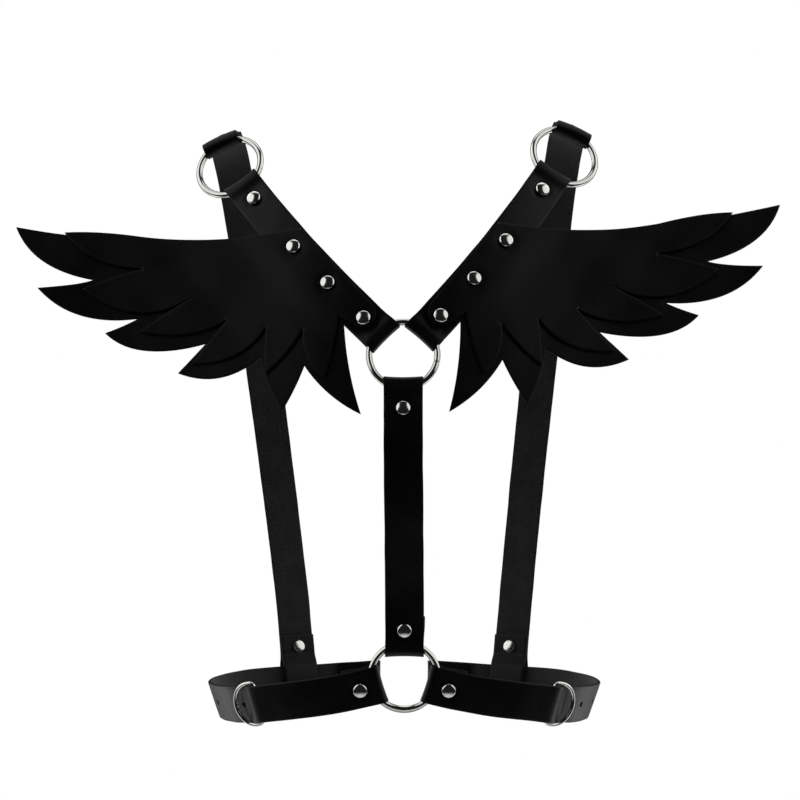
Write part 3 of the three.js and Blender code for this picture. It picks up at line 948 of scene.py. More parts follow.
@dataclass
class Strap:
    """One leather strap, folded at both ends.

    edge_swell and face_swell are the height and length of the unevenness of its edges and faces,
    press is how far it is pressed in under a rivet, over press_flat and then fading over
    press_fade, wear is the width of its worn edge, and its tails are rounded from tail_round
    outwards. Swells and rivets only shape its outer run, where it leads forward by outer_run or more,
    and the places of its run keep wave_room away from its wave.
    """

    path: StrapPath
    first: Fold
    last: Fold
    seed: float
    rivets: Sequence[float] = ()
    wave: Sequence[Pair] = ()
    width: float = WIDTH
    thick: float = LEATHER
    round: float = 0.42
    step: float = 0.8
    across: int = 21
    runs: int = 12
    tail_round: float = 8.0
    outer_run: float = 0.2
    edges_apart: float = 7.0
    edge_swell: Pair = (0.12, 31.0)
    face_swell: Pair = (0.1, 26.0)
    press: float = 0.32
    press_flat: float = 3.6
    press_fade: float = 1.9
    wear: float = 2.2
    wave_room: float = 3.0

    def rows(self) -> Array:
        """Lays out the strap's middle from one tail to the other.

        Returns:
            Rows like those of a fold.
        """
        end = self.last.rows()[::-1].copy()
        end[:, 0] = self.path.length - end[:, 0]
        end[:, 2] *= -1.0
        low = self.first.at + self.first.ease
        high = self.path.length - self.last.at - self.last.ease
        cuts = [s for s in np.linspace(low, high, self.runs + 2)[1:-1] if self._clear(s)]
        run = [(s, LAYER, 0.0, 0.0, 0.0, 1.0) for s in cuts]
        run += [(s, LAYER + rise, 0.0, 0.0, 0.0, 1.0) for s, rise in self.wave]
        return np.vstack([self.first.rows(), np.array(sorted(run)), end])

    def _clear(self, s: float) -> bool:
        """True if a place lies outside the strap's wave."""
        room = self.wave_room
        return not self.wave or s < self.wave[0][0] - room or s > self.wave[-1][0] + room

    def section(self) -> tuple[Array, Array, list[Face]]:
        """Outlines the strap's cross-section.

        Returns:
            Crosswise places, outward places, and the face that each side belongs to.
        """
        half, deep, r = self.width / 2 - self.round, self.thick / 2 - self.round, self.round
        flat = np.linspace(-half, half, self.across)
        corner = np.radians([60.0, 30.0, 0.0])
        w = [flat, half + r * np.cos(corner), half + r * np.cos(corner[::-1]), flat[::-1]]
        w += [-half - r * np.cos(corner), -half - r * np.cos(corner[::-1])]
        full = np.full(self.across, self.thick / 2)
        o = [full, deep + r * np.sin(corner), -deep - r * np.sin(corner[::-1]), -full]
        o += [-deep - r * np.sin(corner), deep + r * np.sin(corner[::-1])]
        kinds = [Face.GRAIN] * (self.across + 1) + [Face.EDGE] * 4 + [Face.FLESH] * (self.across + 1)
        kinds += [Face.EDGE] * 4 + [Face.GRAIN] * 2
        return np.concatenate(w), np.concatenate(o), kinds

    def shell(self) -> Shell:
        """Builds the strap.

        Returns:
            The strap's points and faces.
        """
        line = Curve(self.rows(), fine=16)
        tail = np.array([0.0, 0.3 * self.round])
        count = int(round(line.length / self.step))
        inner = np.linspace(self.round, line.length - self.round, count)
        along = np.concatenate([tail, inner, line.length - tail[::-1]])
        shrink = np.zeros((len(along), 1))
        shrink[[0, -1]] = self.round
        shrink[[1, -2]] = 0.3 * self.round
        q, d = line.place(along), unit(line.way(along)[:, :2])
        s, h, sag, drop, aside, thin = np.split(q, 6, axis=1)
        forward, rising = np.split(d, 2, axis=1)
        w, o, kinds = self.section()
        wide = w - shrink * np.sign(w) * (np.abs(w) > self.tail_round)
        deep = o - shrink * np.sign(o)
        running = forward > self.outer_run
        deep = deep * thin - self.pressed(s, wide) * running * (deep > 0)
        c = wide / (self.width / 2)
        run = along[:, None] * np.ones_like(wide)
        height, wave = self.edge_swell
        edges = height * ripple(run, np.sign(wide) * self.edges_apart, wave, self.seed)
        wide = wide + aside + edges * np.abs(c) ** 3
        height, wave = self.face_swell
        swell = height * ripple(run, wide, wave, self.seed) * running
        length, rise = s + sag * c**2 - deep * rising, h + drop * c**2 + deep * forward + swell
        places = self.path.at(length, wide, rise)
        nearness = np.clip(1.0 - (self.width / 2 - np.abs(c) * self.width / 2) / self.wear, 0.0, 1.0)
        faces, marks = self.skin(len(along), kinds)
        return Shell(places.reshape(-1, 3), faces, marks, nearness.reshape(-1))

    @staticmethod
    def skin(rows: int, kinds: Sequence[Face]) -> tuple[list[Sequence[int]], list[int]]:
        """Joins the rows of points into a closed skin.

        Args:
            rows: How many cross-sections there are.
            kinds: The face that each side of the cross-section belongs to.

        Returns:
            The faces, and the kind of each.
        """
        columns = len(kinds)
        faces: list[Sequence[int]] = []
        for a in range(0, (rows - 1) * columns, columns):
            b = a + columns
            for k in range(columns):
                n = (k + 1) % columns
                faces.append((a + k, a + n, b + n, b + k))
        faces.append(tuple(range(columns - 1, -1, -1)))
        faces.append(tuple(range((rows - 1) * columns, rows * columns)))
        return faces, [int(k) for k in kinds] * (rows - 1) + [int(Face.EDGE)] * 2

    def pressed(self, s: Array, w: Array) -> Array:
        """Works out how far the leather is pressed in round its rivets.

        Args:
            s: Lengths along the strap.
            w: Crosswise places.

        Returns:
            The depth at each place.
        """
        depth = np.zeros_like(w)
        for rivet in self.rivets:
            past = np.maximum(np.hypot(s - rivet, w) - self.press_flat, 0.0)
            depth = np.maximum(depth, self.press * np.exp(-((past / self.press_fade) ** 2)))
        return depth


# Metal pieces


@dataclass(frozen=True)
class Rivet:
    """A domed rivet with a shank and a flat back cap."""

    cap: float = 4.0
    dome: float = 2.4
    rim: float = 0.5
    shoulder: float = 1.1
    shank: float = 1.5
    back: float = 3.8
    back_depth: float = 1.1
    sunk: float = 0.2
    bevel: float = 0.12
    sides: int = 48

    def shell(self, place: Array, axis: Array, low: float, high: float) -> Shell:
        """Builds the rivet.

        Args:
            place: A point on its axis.
            axis: Outward direction.
            low: Underside of the leather, measured along the axis.
            high: Top of the leather, measured along the axis.

        Returns:
            The rivet's points and faces.
        """
        under, over = low - GAP, high + GAP - self.sunk
        inner, last = self.cap - self.shoulder, 0.4 * math.pi
        start = inner + self.shoulder * math.cos(last)
        crown = start / (2.0 * self.shoulder * math.tan(last))
        rise = (self.dome - self.rim) / (math.sin(last) + crown)
        curve = [
            (inner + self.shoulder * math.cos(a), over + self.rim + rise * math.sin(a))
            for a in np.linspace(0.0, last, 9)
        ]
        peak = over + self.dome
        curve += [(start * (1 - t), peak - rise * crown * (1 - t) ** 2) for t in np.linspace(0.1, 0.95, 10)]
        profile = [
            (0.3, under - self.back_depth),
            (self.back - 0.7, under - self.back_depth),
            (self.back - 0.2, under - self.back_depth + 0.2),
            (self.back, under - 0.35),
            (self.back, under),
            (self.shank, under),
            (self.shank, over),
            (self.cap - self.bevel, over),
            (self.cap, over + self.bevel),
            *curve,
        ]
        side = unit(np.cross(axis, np.array([0.31, 0.17, 0.93])))
        ring = round_about(full_turn(self.sides), side, np.cross(axis, side))
        points = [place + axis * profile[0][1]]
        for r, h in profile:
            points.extend(place + axis * h + r * ring)
        points.append(place + axis * peak)
        n, top = self.sides, len(points) - 1
        faces: list[Sequence[int]] = []
        for k in range(n):
            faces.append((0, 1 + (k + 1) % n, 1 + k))
            faces.append((top, top - n + k, top - n + (k + 1) % n))
        for a in range(1, top - n, n):
            b = a + n
            faces += [(a + k, a + (k + 1) % n, b + (k + 1) % n, b + k) for k in range(n)]
        return Shell(np.array(points), faces)


def wire_loop(loop: Array, normal: Array, radius: Array, sides: int) -> Shell:
    """A round wire along a closed flat loop.

    Args:
        loop: The middle of the wire.
        normal: The loop's own normal.
        radius: The wire's radius at each place.
        sides: Points round the wire.

    Returns:
        The wire's points and faces.
    """
    along = unit(np.roll(loop, -1, axis=0) - np.roll(loop, 1, axis=0))
    across = np.cross(along, normal)
    turn = full_turn(sides)
    ring = np.cos(turn)[None, :, None] * normal + np.sin(turn)[None, :, None] * across[:, None, :]
    points = loop[:, None, :] + radius[:, None, None] * ring
    count, faces = len(loop), []
    for i in range(count):
        a, b = i * sides, ((i + 1) % count) * sides
        faces += [(a + k, b + k, b + (k + 1) % sides, a + (k + 1) % sides) for k in range(sides)]
    return Shell(points.reshape(-1, 3), faces)


@dataclass(frozen=True)
class RoundRing:
    """A wire ring with the fine joint of its two ends."""

    radius: float = RING_RADIUS
    wire: float = 1.75
    sides: int = 28
    steps: int = 150
    joint: float = 0.05
    joint_steps: int = 21
    groove_width: float = 0.32
    groove_depth: float = 0.3

    def shell(self, centre: Array, normal: Array, seam: float) -> Shell:
        """Builds the ring.

        Args:
            centre: Its middle.
            normal: Its outward direction.
            seam: Angle of its joint from the viewer's right, in degrees.

        Returns:
            The ring's points and faces.
        """
        right = unit(RIGHT - normal * normal[0])
        near = np.linspace(-self.joint, self.joint, self.joint_steps)
        rest = np.linspace(self.joint, 2.0 * math.pi - self.joint, self.steps)[1:-1]
        turn = np.concatenate([near, rest]) + math.radians(seam)
        groove = np.exp(-((near * self.radius / self.groove_width) ** 2))
        groove = np.concatenate([groove, np.zeros(len(rest))])
        loop = centre + self.radius * round_about(turn, right, np.cross(normal, right))
        return wire_loop(loop, normal, self.wire * (1.0 - self.groove_depth * groove), self.sides)


# Sheets cut from an outline


def clearance(points: Array, outline: Array) -> Array:
    """Measures how far points are from an outline.

    Args:
        points: The points.
        outline: Corners of the closed outline.

    Returns:
        The distance of each point.
    """
    way = np.roll(outline, -1, axis=0) - outline
    size = np.maximum(np.sum(way**2, axis=1), 1e-12)
    best = []
    for start in range(0, len(points), 800):
        part = points[start : start + 800, None] - outline
        t = np.clip(np.einsum("ijk,jk->ij", part, way) / size, 0.0, 1.0)
        best.append(np.linalg.norm(part - t[..., None] * way, axis=2).min(axis=1))
    return np.concatenate(best)


def inside(points: Array, outline: Array) -> Array:
    """Finds the points within an outline.

    Args:
        points: The points.
        outline: Corners of the closed outline.

    Returns:
        True for each point that lies within.
    """
    a, b = outline, np.roll(outline, -1, axis=0)
    found = np.zeros(len(points), dtype=bool)
    for (x0, y0), (x1, y1) in zip(a, b):
        if y0 == y1:
            continue
        crosses = (points[:, 1] > y0) != (points[:, 1] > y1)
        found ^= crosses & (points[:, 0] < x0 + (points[:, 1] - y0) * (x1 - x0) / (y1 - y0))
    return found


@dataclass(frozen=True)
class CutSheet:
    """A sheet cut to an outline, with softened edges.

    insets are the distances of the points along the edge, and inner_from is where the even grid of
    the inside starts, both in shares of round. apart is the share of its inset that such a point
    keeps from every edge. row is the height of a row of the grid, rim is the share of round that
    counts as cut edge, and wear is the width of the worn edge.
    """

    outline: Array
    thick: float
    round: float
    grid: float
    insets: tuple[float, ...] = (0.16, 0.45, 1.0, 2.2)
    inner_from: float = 2.6
    apart: float = 0.93
    row: float = 0.866
    rim: float = 0.6
    wear: float = 2.0

    def flat(self) -> tuple[Array, Array, list[tuple[int, int, int]]]:
        """Fills the outline with triangles, finer near its edge.

        Returns:
            The sheet's points, their distance from the edge, and the triangles between them.
        """
        border = self.outline
        count = len(border)
        way = unit(np.roll(border, -1, axis=0) - np.roll(border, 1, axis=0))
        free = []
        for depth in self.insets:
            inset = depth * self.round
            for sign in (-1.0, 1.0):
                ring = border + sign * inset * np.stack([way[:, 1], -way[:, 0]], axis=1)
                free.append(ring[clearance(ring, border) > self.apart * inset])
        low, high = border.min(axis=0), border.max(axis=0)
        xs = np.arange(low[0], high[0], self.grid)
        ys = np.arange(low[1], high[1], self.grid * self.row)
        mesh = np.stack(np.meshgrid(xs, ys), axis=-1)
        mesh[1::2, :, 0] += self.grid / 2
        inner = mesh.reshape(-1, 2)
        free.append(inner[clearance(inner, border) > self.inner_from * self.round])
        wanted = np.vstack(free)
        points = np.vstack([border, wanted[inside(wanted, border)]])
        loop = [(i, (i + 1) % count) for i in range(count)]
        found = delaunay_2d_cdt(points.tolist(), loop, [], 0, 1e-5)
        places = np.array([tuple(v) for v in found[0]])
        triangles = np.array(found[2])
        good = inside(places[triangles].mean(axis=1), border)
        return places, clearance(places, border), [tuple(t) for t in triangles[good].tolist()]

    def shell(self, put: Callable[[Array, Array], Array]) -> Shell:
        """Builds the sheet.

        Args:
            put: Takes places on the flat cut and heights from 0 to the thickness, and gives points.

        Returns:
            The sheet's points and faces.
        """
        places, gap, triangles = self.flat()
        near = np.clip(self.round - gap, 0.0, self.round)
        lowered = self.round - np.sqrt(np.maximum(self.round**2 - near**2, 0.0))
        count = len(places)
        points = np.vstack([put(places, self.thick - lowered), put(places, lowered)])
        edges: dict[tuple[int, int], tuple[int, int]] = {}
        for a, b, c in triangles:
            for pair in ((a, b), (b, c), (c, a)):
                key = (min(pair), max(pair))
                if key in edges:
                    del edges[key]
                else:
                    edges[key] = pair
        faces: list[Sequence[int]] = [*triangles]
        faces += [(c + count, b + count, a + count) for a, b, c in triangles]
        faces += [(b, a, a + count, b + count) for a, b in edges.values()]
        rim = [max(gap[list(t)]) < self.rim * self.round for t in triangles]
        kinds = [int(Face.EDGE) if r else int(Face.GRAIN) for r in rim]
        kinds += [int(Face.EDGE) if r else int(Face.FLESH) for r in rim]
        kinds += [int(Face.EDGE)] * len(edges)
        nearness = np.clip(1.0 - gap / self.wear, 0.0, 1.0)
        return Shell(points, faces, kinds, np.concatenate([nearness, nearness]))


# Sub-assemblies


def set_rivet(
    bench: Bench, node: str, path: StrapPath, s: float, stack: Pair = FLAT_STACK, aside: float = 0.0
) -> None:
    """Sets a rivet at a place on a strap.

    Args:
        bench: Makes the piece.
        node: The CAD piece that it stands for.
        path: The strap's middle line.
        s: Length along the strap.
        stack: Underside and top of the leather there.
        aside: Crosswise offset from the middle line.
    """
    one, none = np.array([s]), np.zeros(1)
    place, axis = path.at(one, np.array([aside]), none)[0], path.frame(one).n[0]
    bench.piece(node, Rivet().shell(place, axis, *stack), bench.finishes.rivet, 40.0)


@dataclass
class Rings:
    """The round rings on the middle line, and the places that other pieces take from them."""

    form: BackForm
    centre_sink: float = 0.53
    waist_sink: float = 0.6
    waist: Triple = (0.7, -80.0, -299.0)
    waist_lean: float = 10.0
    centre_seam: float = -13.0
    waist_seam: float = -170.0

    @property
    def centre_normal(self) -> Array:
        """Outward direction of the centre ring."""
        return self.form.normal(self.form.back, np.array([0.0]), np.array([self.form.ring_z]))[0]

    @property
    def centre(self) -> Array:
        """Middle of the centre ring."""
        x, z = np.array([0.0]), np.array([self.form.ring_z])
        return self.form.on(self.form.back, x, z, -self.centre_sink)[0]

    @property
    def waist_normal(self) -> Array:
        """Outward direction of the waist ring."""
        lean = math.radians(self.waist_lean)
        return np.array([0.0, -math.cos(lean), -math.sin(lean)])

    def build(self, bench: Bench) -> None:
        """Makes both rings.

        Args:
            bench: Makes the pieces.
        """
        ring = RoundRing()
        looks = bench.finishes.ring
        shell = ring.shell(self.centre, self.centre_normal, self.centre_seam)
        bench.piece("centre_ring", shell, looks)
        place = np.array(self.waist) - self.waist_normal * self.waist_sink
        shell = ring.shell(place, self.waist_normal, self.waist_seam)
        bench.piece("waist_ring", shell, looks)


@dataclass
class Spine:
    """The strap down the middle of the back, between the two rings."""

    rings: Rings
    straight: float = 34.0
    top_rivet: float = 30.2
    low_rivet: float = 26.8
    width: float = 20.9
    seed: float = 3.1

    def path(self) -> FreePath:
        """Lays out the strap.

        Returns:
            Its middle line, straight at both rings.
        """
        n, lean = self.rings.centre_normal, math.radians(self.rings.waist_lean)
        down = np.array([0.0, -n[2], n[1]])
        arrive = np.array([0.0, math.sin(lean), -math.cos(lean)])
        start, end = self.rings.centre, np.array(self.rings.waist)
        top, low = start + down * self.straight, end - arrive * self.straight
        places = [start, (start + top) / 2, *bend(top, down, low, arrive, 10), (end + low) / 2, end]
        return FreePath(Curve(places), lambda u, p, t: np.broadcast_to(RIGHT, p.shape), -1)

    def build(self, bench: Bench) -> None:
        """Makes the strap and its rivets.

        Args:
            bench: Makes the pieces.
        """
        path = self.path()
        low = path.length - self.low_rivet
        strap = Strap(path, RING_FOLD, SPINE_FOLD, self.seed, (self.top_rivet, low), width=self.width)
        bench.piece("spine_strap", strap.shell(), bench.finishes.strap)
        set_rivet(bench, "spine_rivet_top", path, self.top_rivet)
        set_rivet(bench, "spine_rivet_bottom", path, low, WAIST_STACK)


@dataclass(frozen=True)
class Feather:
    """One feather's edge: pull of the leading edge, tip, pull of the trailing edge, next notch."""

    lead: Pair
    tip: Pair
    trail: Pair
    notch: Pair


LOWER_FEATHERS = (
    Feather((118.0, 57.2), (211.3, 76.3), (201.5, 52.2), (167.8, 45.6)),
    Feather((175.6, 42.8), (198.7, 42.2), (179.4, 19.9), (142.9, 23.5)),
    Feather((150.4, 19.7), (161.3, 16.1), (144.8, -0.6), (105.9, 8.6)),
    Feather((113.0, 1.5), (121.4, -6.8), (97.4, -16.6), (76.4, 0.3)),
    Feather((73.5, -15.2), (65.0, -28.5), (57.5, -17.2), (52.6, -5.0)),
    Feather((42.0, -22.0), (23.2, -31.8), (30.4, -8.0), (30.8, 16.7)),
)
UPPER_FEATHERS = (
    Feather((165.0, 71.8), (184.0, 71.6), (169.5, 51.8), (140.3, 49.8)),
    Feather((159.0, 45.4), (173.5, 40.1), (144.0, 15.8), (113.2, 32.8)),
    Feather((128.5, 24.8), (141.7, 15.8), (114.0, 8.7), (94.0, 20.4)),
    Feather((104.0, 7.8), (113.5, -2.4), (86.3, -4.4), (72.3, 15.8)),
    Feather((73.6, 3.0), (73.1, -9.0), (60.1, 1.0), (52.6, 14.0)),
    Feather((53.0, -5.0), (42.0, -12.0), (36.0, 3.0), (33.6, 19.7)),
)


@dataclass
class BackWing:
    """One slanting back strap with its shoulder ring and the two wing layers riveted on it.

    root is the middle and radius of the layers' round inner end. The layers dip beside the strap
    between dip_from and dip_to, swell unevenly further out, and are pressed in at their rivets.
    """

    form: BackForm
    side: Side
    turn: Pair = (55.0, 52.5)
    end: Pair = (93.1, 108.3)
    rivets: tuple[float, ...] = (28.0, 56.1, 85.5)
    rivet_aside: float = 1.2
    end_rivet: float = 29.6
    shoulder_sink: float = 0.3
    wing_leather: float = 1.6
    wing_start: Pair = (52.7, 68.4)
    wing_round: float = 0.38
    wing_grid: float = 2.1
    root: Triple = (20.8, 21.1, 7.0)
    dip: float = 0.7
    dip_from: float = 9.0
    dip_to: float = 26.0
    swell: float = 0.28
    swell_wave: float = 47.0
    swell_from: float = 12.0
    swell_to: float = 45.0
    press: float = 0.3
    press_flat: float = 3.6
    press_fade: float = 2.2
    seam: float = 90.0
    strap_seed: float = 5.0
    wing_seed: float = 2.0

    @property
    def path(self) -> BackPath:
        """The strap's middle line on the back."""
        return BackPath(self.form, self.side, self.turn, self.end)

    @property
    def ring_place(self) -> tuple[float, float]:
        """The shoulder ring's x and z."""
        x, z = self.form.turned(self.side, np.array([self.end[0]]), np.array([self.end[1]]))
        return float(x[0]), float(z[0])

    @property
    def ring_normal(self) -> Array:
        """Outward direction of the shoulder ring."""
        x, z = self.ring_place
        return self.form.normal(self.form.back, np.array([x]), np.array([z]))[0]

    @property
    def ring_centre(self) -> Array:
        """Middle of the shoulder ring."""
        x, z = self.ring_place
        return self.form.on(self.form.back, np.array([x]), np.array([z]), -self.shoulder_sink)[0]

    def outline(self, feathers: Sequence[Feather], crest: tuple[Pair, ...] = ()) -> Array:
        """The cut line of a wing layer.

        Args:
            feathers: Its feathers, from the outermost to the innermost.
            crest: Pull and end of a raised first edge, if it has one.

        Returns:
            Places out from and up from the centre ring.
        """
        runs, start = [], self.wing_start
        if crest:
            runs.append(parabola(start, crest[0], crest[1], 90)[:-1])
            start = crest[1]
        for f in feathers:
            for pull, end in ((f.lead, f.tip), (f.trail, f.notch)):
                steps = max(6, int(math.dist(start, end)))
                runs.append(parabola(start, pull, end, steps)[:-1])
                start = end
        out, up, radius = self.root
        slope = math.atan2(self.turn[1], self.turn[0])
        turn = np.linspace(slope - math.pi / 2, slope - 1.5 * math.pi, 24)
        arc = np.stack([out + radius * np.cos(turn), up + radius * np.sin(turn)], axis=1)
        runs.append(parabola(start, tuple((np.array(start) + arc[0]) / 2), tuple(arc[0]), 8)[:-1])
        runs.append(arc)
        last = arc[-1]
        middle = (last + np.array(self.wing_start)) / 2
        runs.append(parabola(tuple(last), tuple(middle), self.wing_start, 60)[1:-1])
        return np.vstack(runs)

    def placed(self, base: float, seed: float) -> Callable[[Array, Array], Array]:
        """Works out how a flat wing layer bends onto the back.

        Args:
            base: Height of its underside above the back.
            seed: Shifts its swell.

        Returns:
            A function that takes flat places and heights, and gives points.
        """
        strap = parabola((0.0, 0.0), self.turn, self.end, 160)
        path = self.path
        aside = np.array([self.side.sign * self.rivet_aside])
        pins = [path.at(np.array([s]), aside, np.zeros(1))[0][[0, 2]] for s in self.rivets]

        def put(flat: Array, height: Array) -> Array:
            """Bends the layer onto the back.

            Args:
                flat: Places on the flat layer.
                height: Heights above its underside.

            Returns:
                The points.
            """
            away = np.min(np.linalg.norm(flat[:, None] - strap[None], axis=2), axis=1)
            swell = self.swell * ripple(flat[:, 0], flat[:, 1], self.swell_wave, seed)
            rise = base + height - self.dip * ease(away, self.dip_from, self.dip_to)
            rise = rise + swell * ease(away, self.swell_from, self.swell_to)
            x, z = self.form.turned(self.side, flat[:, 0], flat[:, 1])
            for pin in pins:
                past = np.maximum(np.hypot(x - pin[0], z - pin[1]) - self.press_flat, 0.0)
                rise = rise - self.press * np.exp(-((past / self.press_fade) ** 2))
            return self.form.on(self.form.wing, x, z, rise)

        return put

    def build(self, bench: Bench) -> None:
        """Makes the ring, the strap, both wing layers and the rivets.

        Args:
            bench: Makes the pieces.
        """
        side, path = self.side, self.path
        ring = RoundRing().shell(self.ring_centre, self.ring_normal, self.seam)
        bench.piece(side.named("shoulder_ring"), ring, bench.finishes.ring)
        last = path.length - self.end_rivet
        strap = Strap(path, RING_FOLD, RING_FOLD, self.strap_seed + side.sign, (last,))
        bench.piece(side.named("back_strap"), strap.shell(), bench.finishes.strap)
        lower = STACK + GAP
        upper = lower + self.wing_leather + GAP
        layers = (
            ("wing_lower", self.outline(LOWER_FEATHERS), lower),
            ("wing_upper", self.outline(UPPER_FEATHERS, side.crest), upper),
        )
        for word, outline, base in layers:
            sheet = CutSheet(outline, self.wing_leather, self.wing_round, self.wing_grid)
            shell = sheet.shell(self.placed(base, self.wing_seed + side.sign))
            made = bench.piece(side.named(word), shell, bench.finishes.wing)
            self.declare(outline)
        for i, s in enumerate(self.rivets):
            low = -STACK if i == 0 else GAP / 2
            node, stack = f"{side.named('wing_rivet')}_{i + 1}", (low, upper + self.wing_leather)
            set_rivet(bench, node, path, s, stack, side.sign * self.rivet_aside)
        set_rivet(bench, side.named("back_rivet"), path, last)

    def declare(self, outline: Array) -> None:
        """Lays lines across a wing layer's flat cut onto the curved back, but keeps nothing from them.

        Args:
            outline: Its cut line.
        """
        low, high = outline.min(axis=0), outline.max(axis=0)
        for axis in (0, 1):
            line = np.tile((low + high) / 2, (40, 1))
            line[:, axis] = np.linspace(low[axis], high[axis], 40)
            x, z = self.form.turned(self.side, line[:, 0], line[:, 1])
            run = Curve(np.stack([x, self.form.wing(x, z), z], axis=-1))
        rests_on = [self.side.named("back_strap")]


class BeltRow(NamedTuple):
    """A place on half of the belt: across, forward and up, and its lean in degrees."""

    x: float
    y: float
    z: float
    lean: float


@dataclass
class Belt:
    """The belt round the waist: two straps from the waist ring to the front ring, with D-rings.

    wave holds the rise of the strap over the D-ring's bar, from lengths before the bar to lengths
    after it. bar_at is the bar's place across, bar_under and bow_over are the heights of the bar
    and of the bow's middle, and the sizes that start with d are the D-ring's own.
    """

    middle: float = 0.7
    width: float = 21.0
    rows: tuple[BeltRow, ...] = (
        BeltRow(0.0, -80.0, -299.0, 10.0),
        BeltRow(18.0, -78.65, -304.1, 10.0),
        BeltRow(40.0, -77.0, -309.0, 10.5),
        BeltRow(62.0, -69.5, -312.7, 12.0),
        BeltRow(84.0, -52.0, -316.4, 15.0),
        BeltRow(98.5, -29.0, -318.2, 18.0),
        BeltRow(106.0, -1.0, -318.5, 19.0),
        BeltRow(103.0, 27.0, -318.0, 17.0),
        BeltRow(88.0, 52.0, -317.0, 13.0),
        BeltRow(61.0, 69.0, -316.5, 9.0),
        BeltRow(30.0, 76.0, -315.2, 0.5),
        BeltRow(0.0, 77.0, -313.8, 0.0),
    )
    wave: tuple[Pair, ...] = (
        (-13.0, 0.0),
        (-6.0, 0.6),
        (-1.3, 1.1),
        (1.3, 1.0),
        (4.8, 0.1),
        (8.2, -0.6),
        (12.0, -0.6),
        (16.0, -0.3),
        (22.0, 0.0),
    )
    hole: float = 1.5
    rivet: float = 24.9
    front_rivet: float = 9.2
    seed: float = 7.0
    bar_at: float = 80.3
    bar_under: float = -1.7
    bow_over: float = 4.4
    d_half: float = 11.8
    d_side: float = 4.5
    d_bow: float = 10.0
    d_corner: float = 3.0
    d_wire: float = 1.05
    front: RoundRing = RoundRing(radius=19.7, wire=1.5)
    front_seam: float = -40.0

    def path(self, side: Side) -> FreePath:
        """Lays out one half of the belt.

        Args:
            side: Which half.

        Returns:
            Its middle line from the waist ring to the front ring.
        """
        places = [(self.middle + side.sign * r.x, r.y, r.z) for r in self.rows]
        angles = np.array([math.atan2(r.x, -r.y) for r in self.rows])
        leans = np.radians([r.lean for r in self.rows])

        def across(u: Array, p: Array, t: Array) -> Array:
            """Crosswise direction: upright, leaning out at the top.

            Args:
                u: Shares of the length.
                p: Places on the middle line.
                t: Directions of the middle line.

            Returns:
                The direction at each place.
            """
            angle = np.arctan2(np.maximum(0.0, side.sign * (p[..., 0] - self.middle)), -p[..., 1])
            lean = np.interp(angle, angles, leans)[..., None]
            out = unit(np.stack([t[..., 1], -t[..., 0], np.zeros_like(u)], axis=-1)) * side.sign
            return out * np.sin(lean) + UP * np.cos(lean)

        return FreePath(Curve(places), across, -side.sign)

    def along(self, path: FreePath, side: Side, x: float, front: bool) -> float:
        """Finds where the belt reaches a given place across.

        Args:
            path: The middle line.
            side: Its half of the belt.
            x: The place across, from the middle.
            front: True for the last such place, in front, and false for the first.

        Returns:
            The length along the belt.
        """
        s = np.arange(RING_FOLD.tail, path.length, 0.25)
        reached = side.sign * (path.curve.place(s)[:, 0] - self.middle) >= x
        found = s[reached]
        return float(found[-1] if front else found[0])

    def d_ring(self, path: FreePath, bar_at: float) -> Shell:
        """Builds the D-ring: its bar under the belt and its bow over it.

        Args:
            path: The belt's middle line.
            bar_at: Length along the belt at the bar.

        Returns:
            The D-ring's points and faces.
        """
        depth = self.d_side + self.d_bow
        heights = np.array([LAYER + self.bar_under, LAYER + self.bow_over])
        bar, bow = path.at(np.array([bar_at, bar_at + depth]), np.zeros(2), heights)
        along = unit(bow - bar)
        up = path.frame(np.array([bar_at + depth / 2])).w[0]
        up = unit(up - along * float(np.dot(up, along)))
        corner, turn = np.linspace(0.0, math.pi / 2, 8), np.linspace(0.0, math.pi, 48)
        straight = self.d_half - self.d_corner
        a = [self.d_corner * (1 - np.cos(corner)), self.d_side + self.d_bow * np.sin(turn)]
        b = [straight + self.d_corner * np.sin(corner), self.d_half * np.cos(turn)]
        a += [a[0][::-1], np.zeros(14)]
        b += [-b[0][::-1], np.linspace(-straight, straight, 16)[1:-1]]
        loop = bar + np.concatenate(a)[:, None] * along + np.concatenate(b)[:, None] * up
        return wire_loop(loop, np.cross(along, up), np.full(len(loop), self.d_wire), 18)

    def front_ring(self) -> Shell:
        """Builds the ring that joins the belt's halves in front.

        Returns:
            The ring's points and faces.
        """
        path = self.path(Side.RIGHT)
        centre, fold = path.curve.place(np.array([path.length, path.length - self.front.radius]))
        place = np.array([centre[0], fold[1], centre[2]])
        return self.front.shell(place, FORWARD, self.front_seam)

    def build(self, bench: Bench) -> None:
        """Makes both straps with their holes, D-rings and rivets, and the front ring.

        Args:
            bench: Makes the pieces.
        """
        looks = bench.finishes
        for side in Side:
            path = self.path(side)
            bar = self.along(path, side, self.bar_at, False)
            wave = [(bar + s, rise) for s, rise in self.wave]
            front = path.length - FRONT_FOLD.at - self.front_rivet
            rivets, seed = (self.rivet, front), self.seed + side.sign
            strap = Strap(path, WAIST_FOLD, FRONT_FOLD, seed, rivets, wave, self.width)
            made = bench.piece(side.named("waist_strap"), strap.shell(), looks.strap)
            s = np.array([bar + hole for hole in side.holes])
            axes, places = path.frame(s).n, path.at(s, np.zeros_like(s), np.zeros_like(s))
            bench.punch(made, [(p, n, self.hole) for p, n in zip(places, axes)])
            bench.piece(side.named("side_d_ring"), self.d_ring(path, bar), looks.d_ring)
            set_rivet(bench, side.named("waist_rivet"), path, self.rivet, WAIST_STACK)
            set_rivet(bench, side.named("belt_rivet"), path, front)
        bench.piece("front_ring", self.front_ring(), looks.ring)


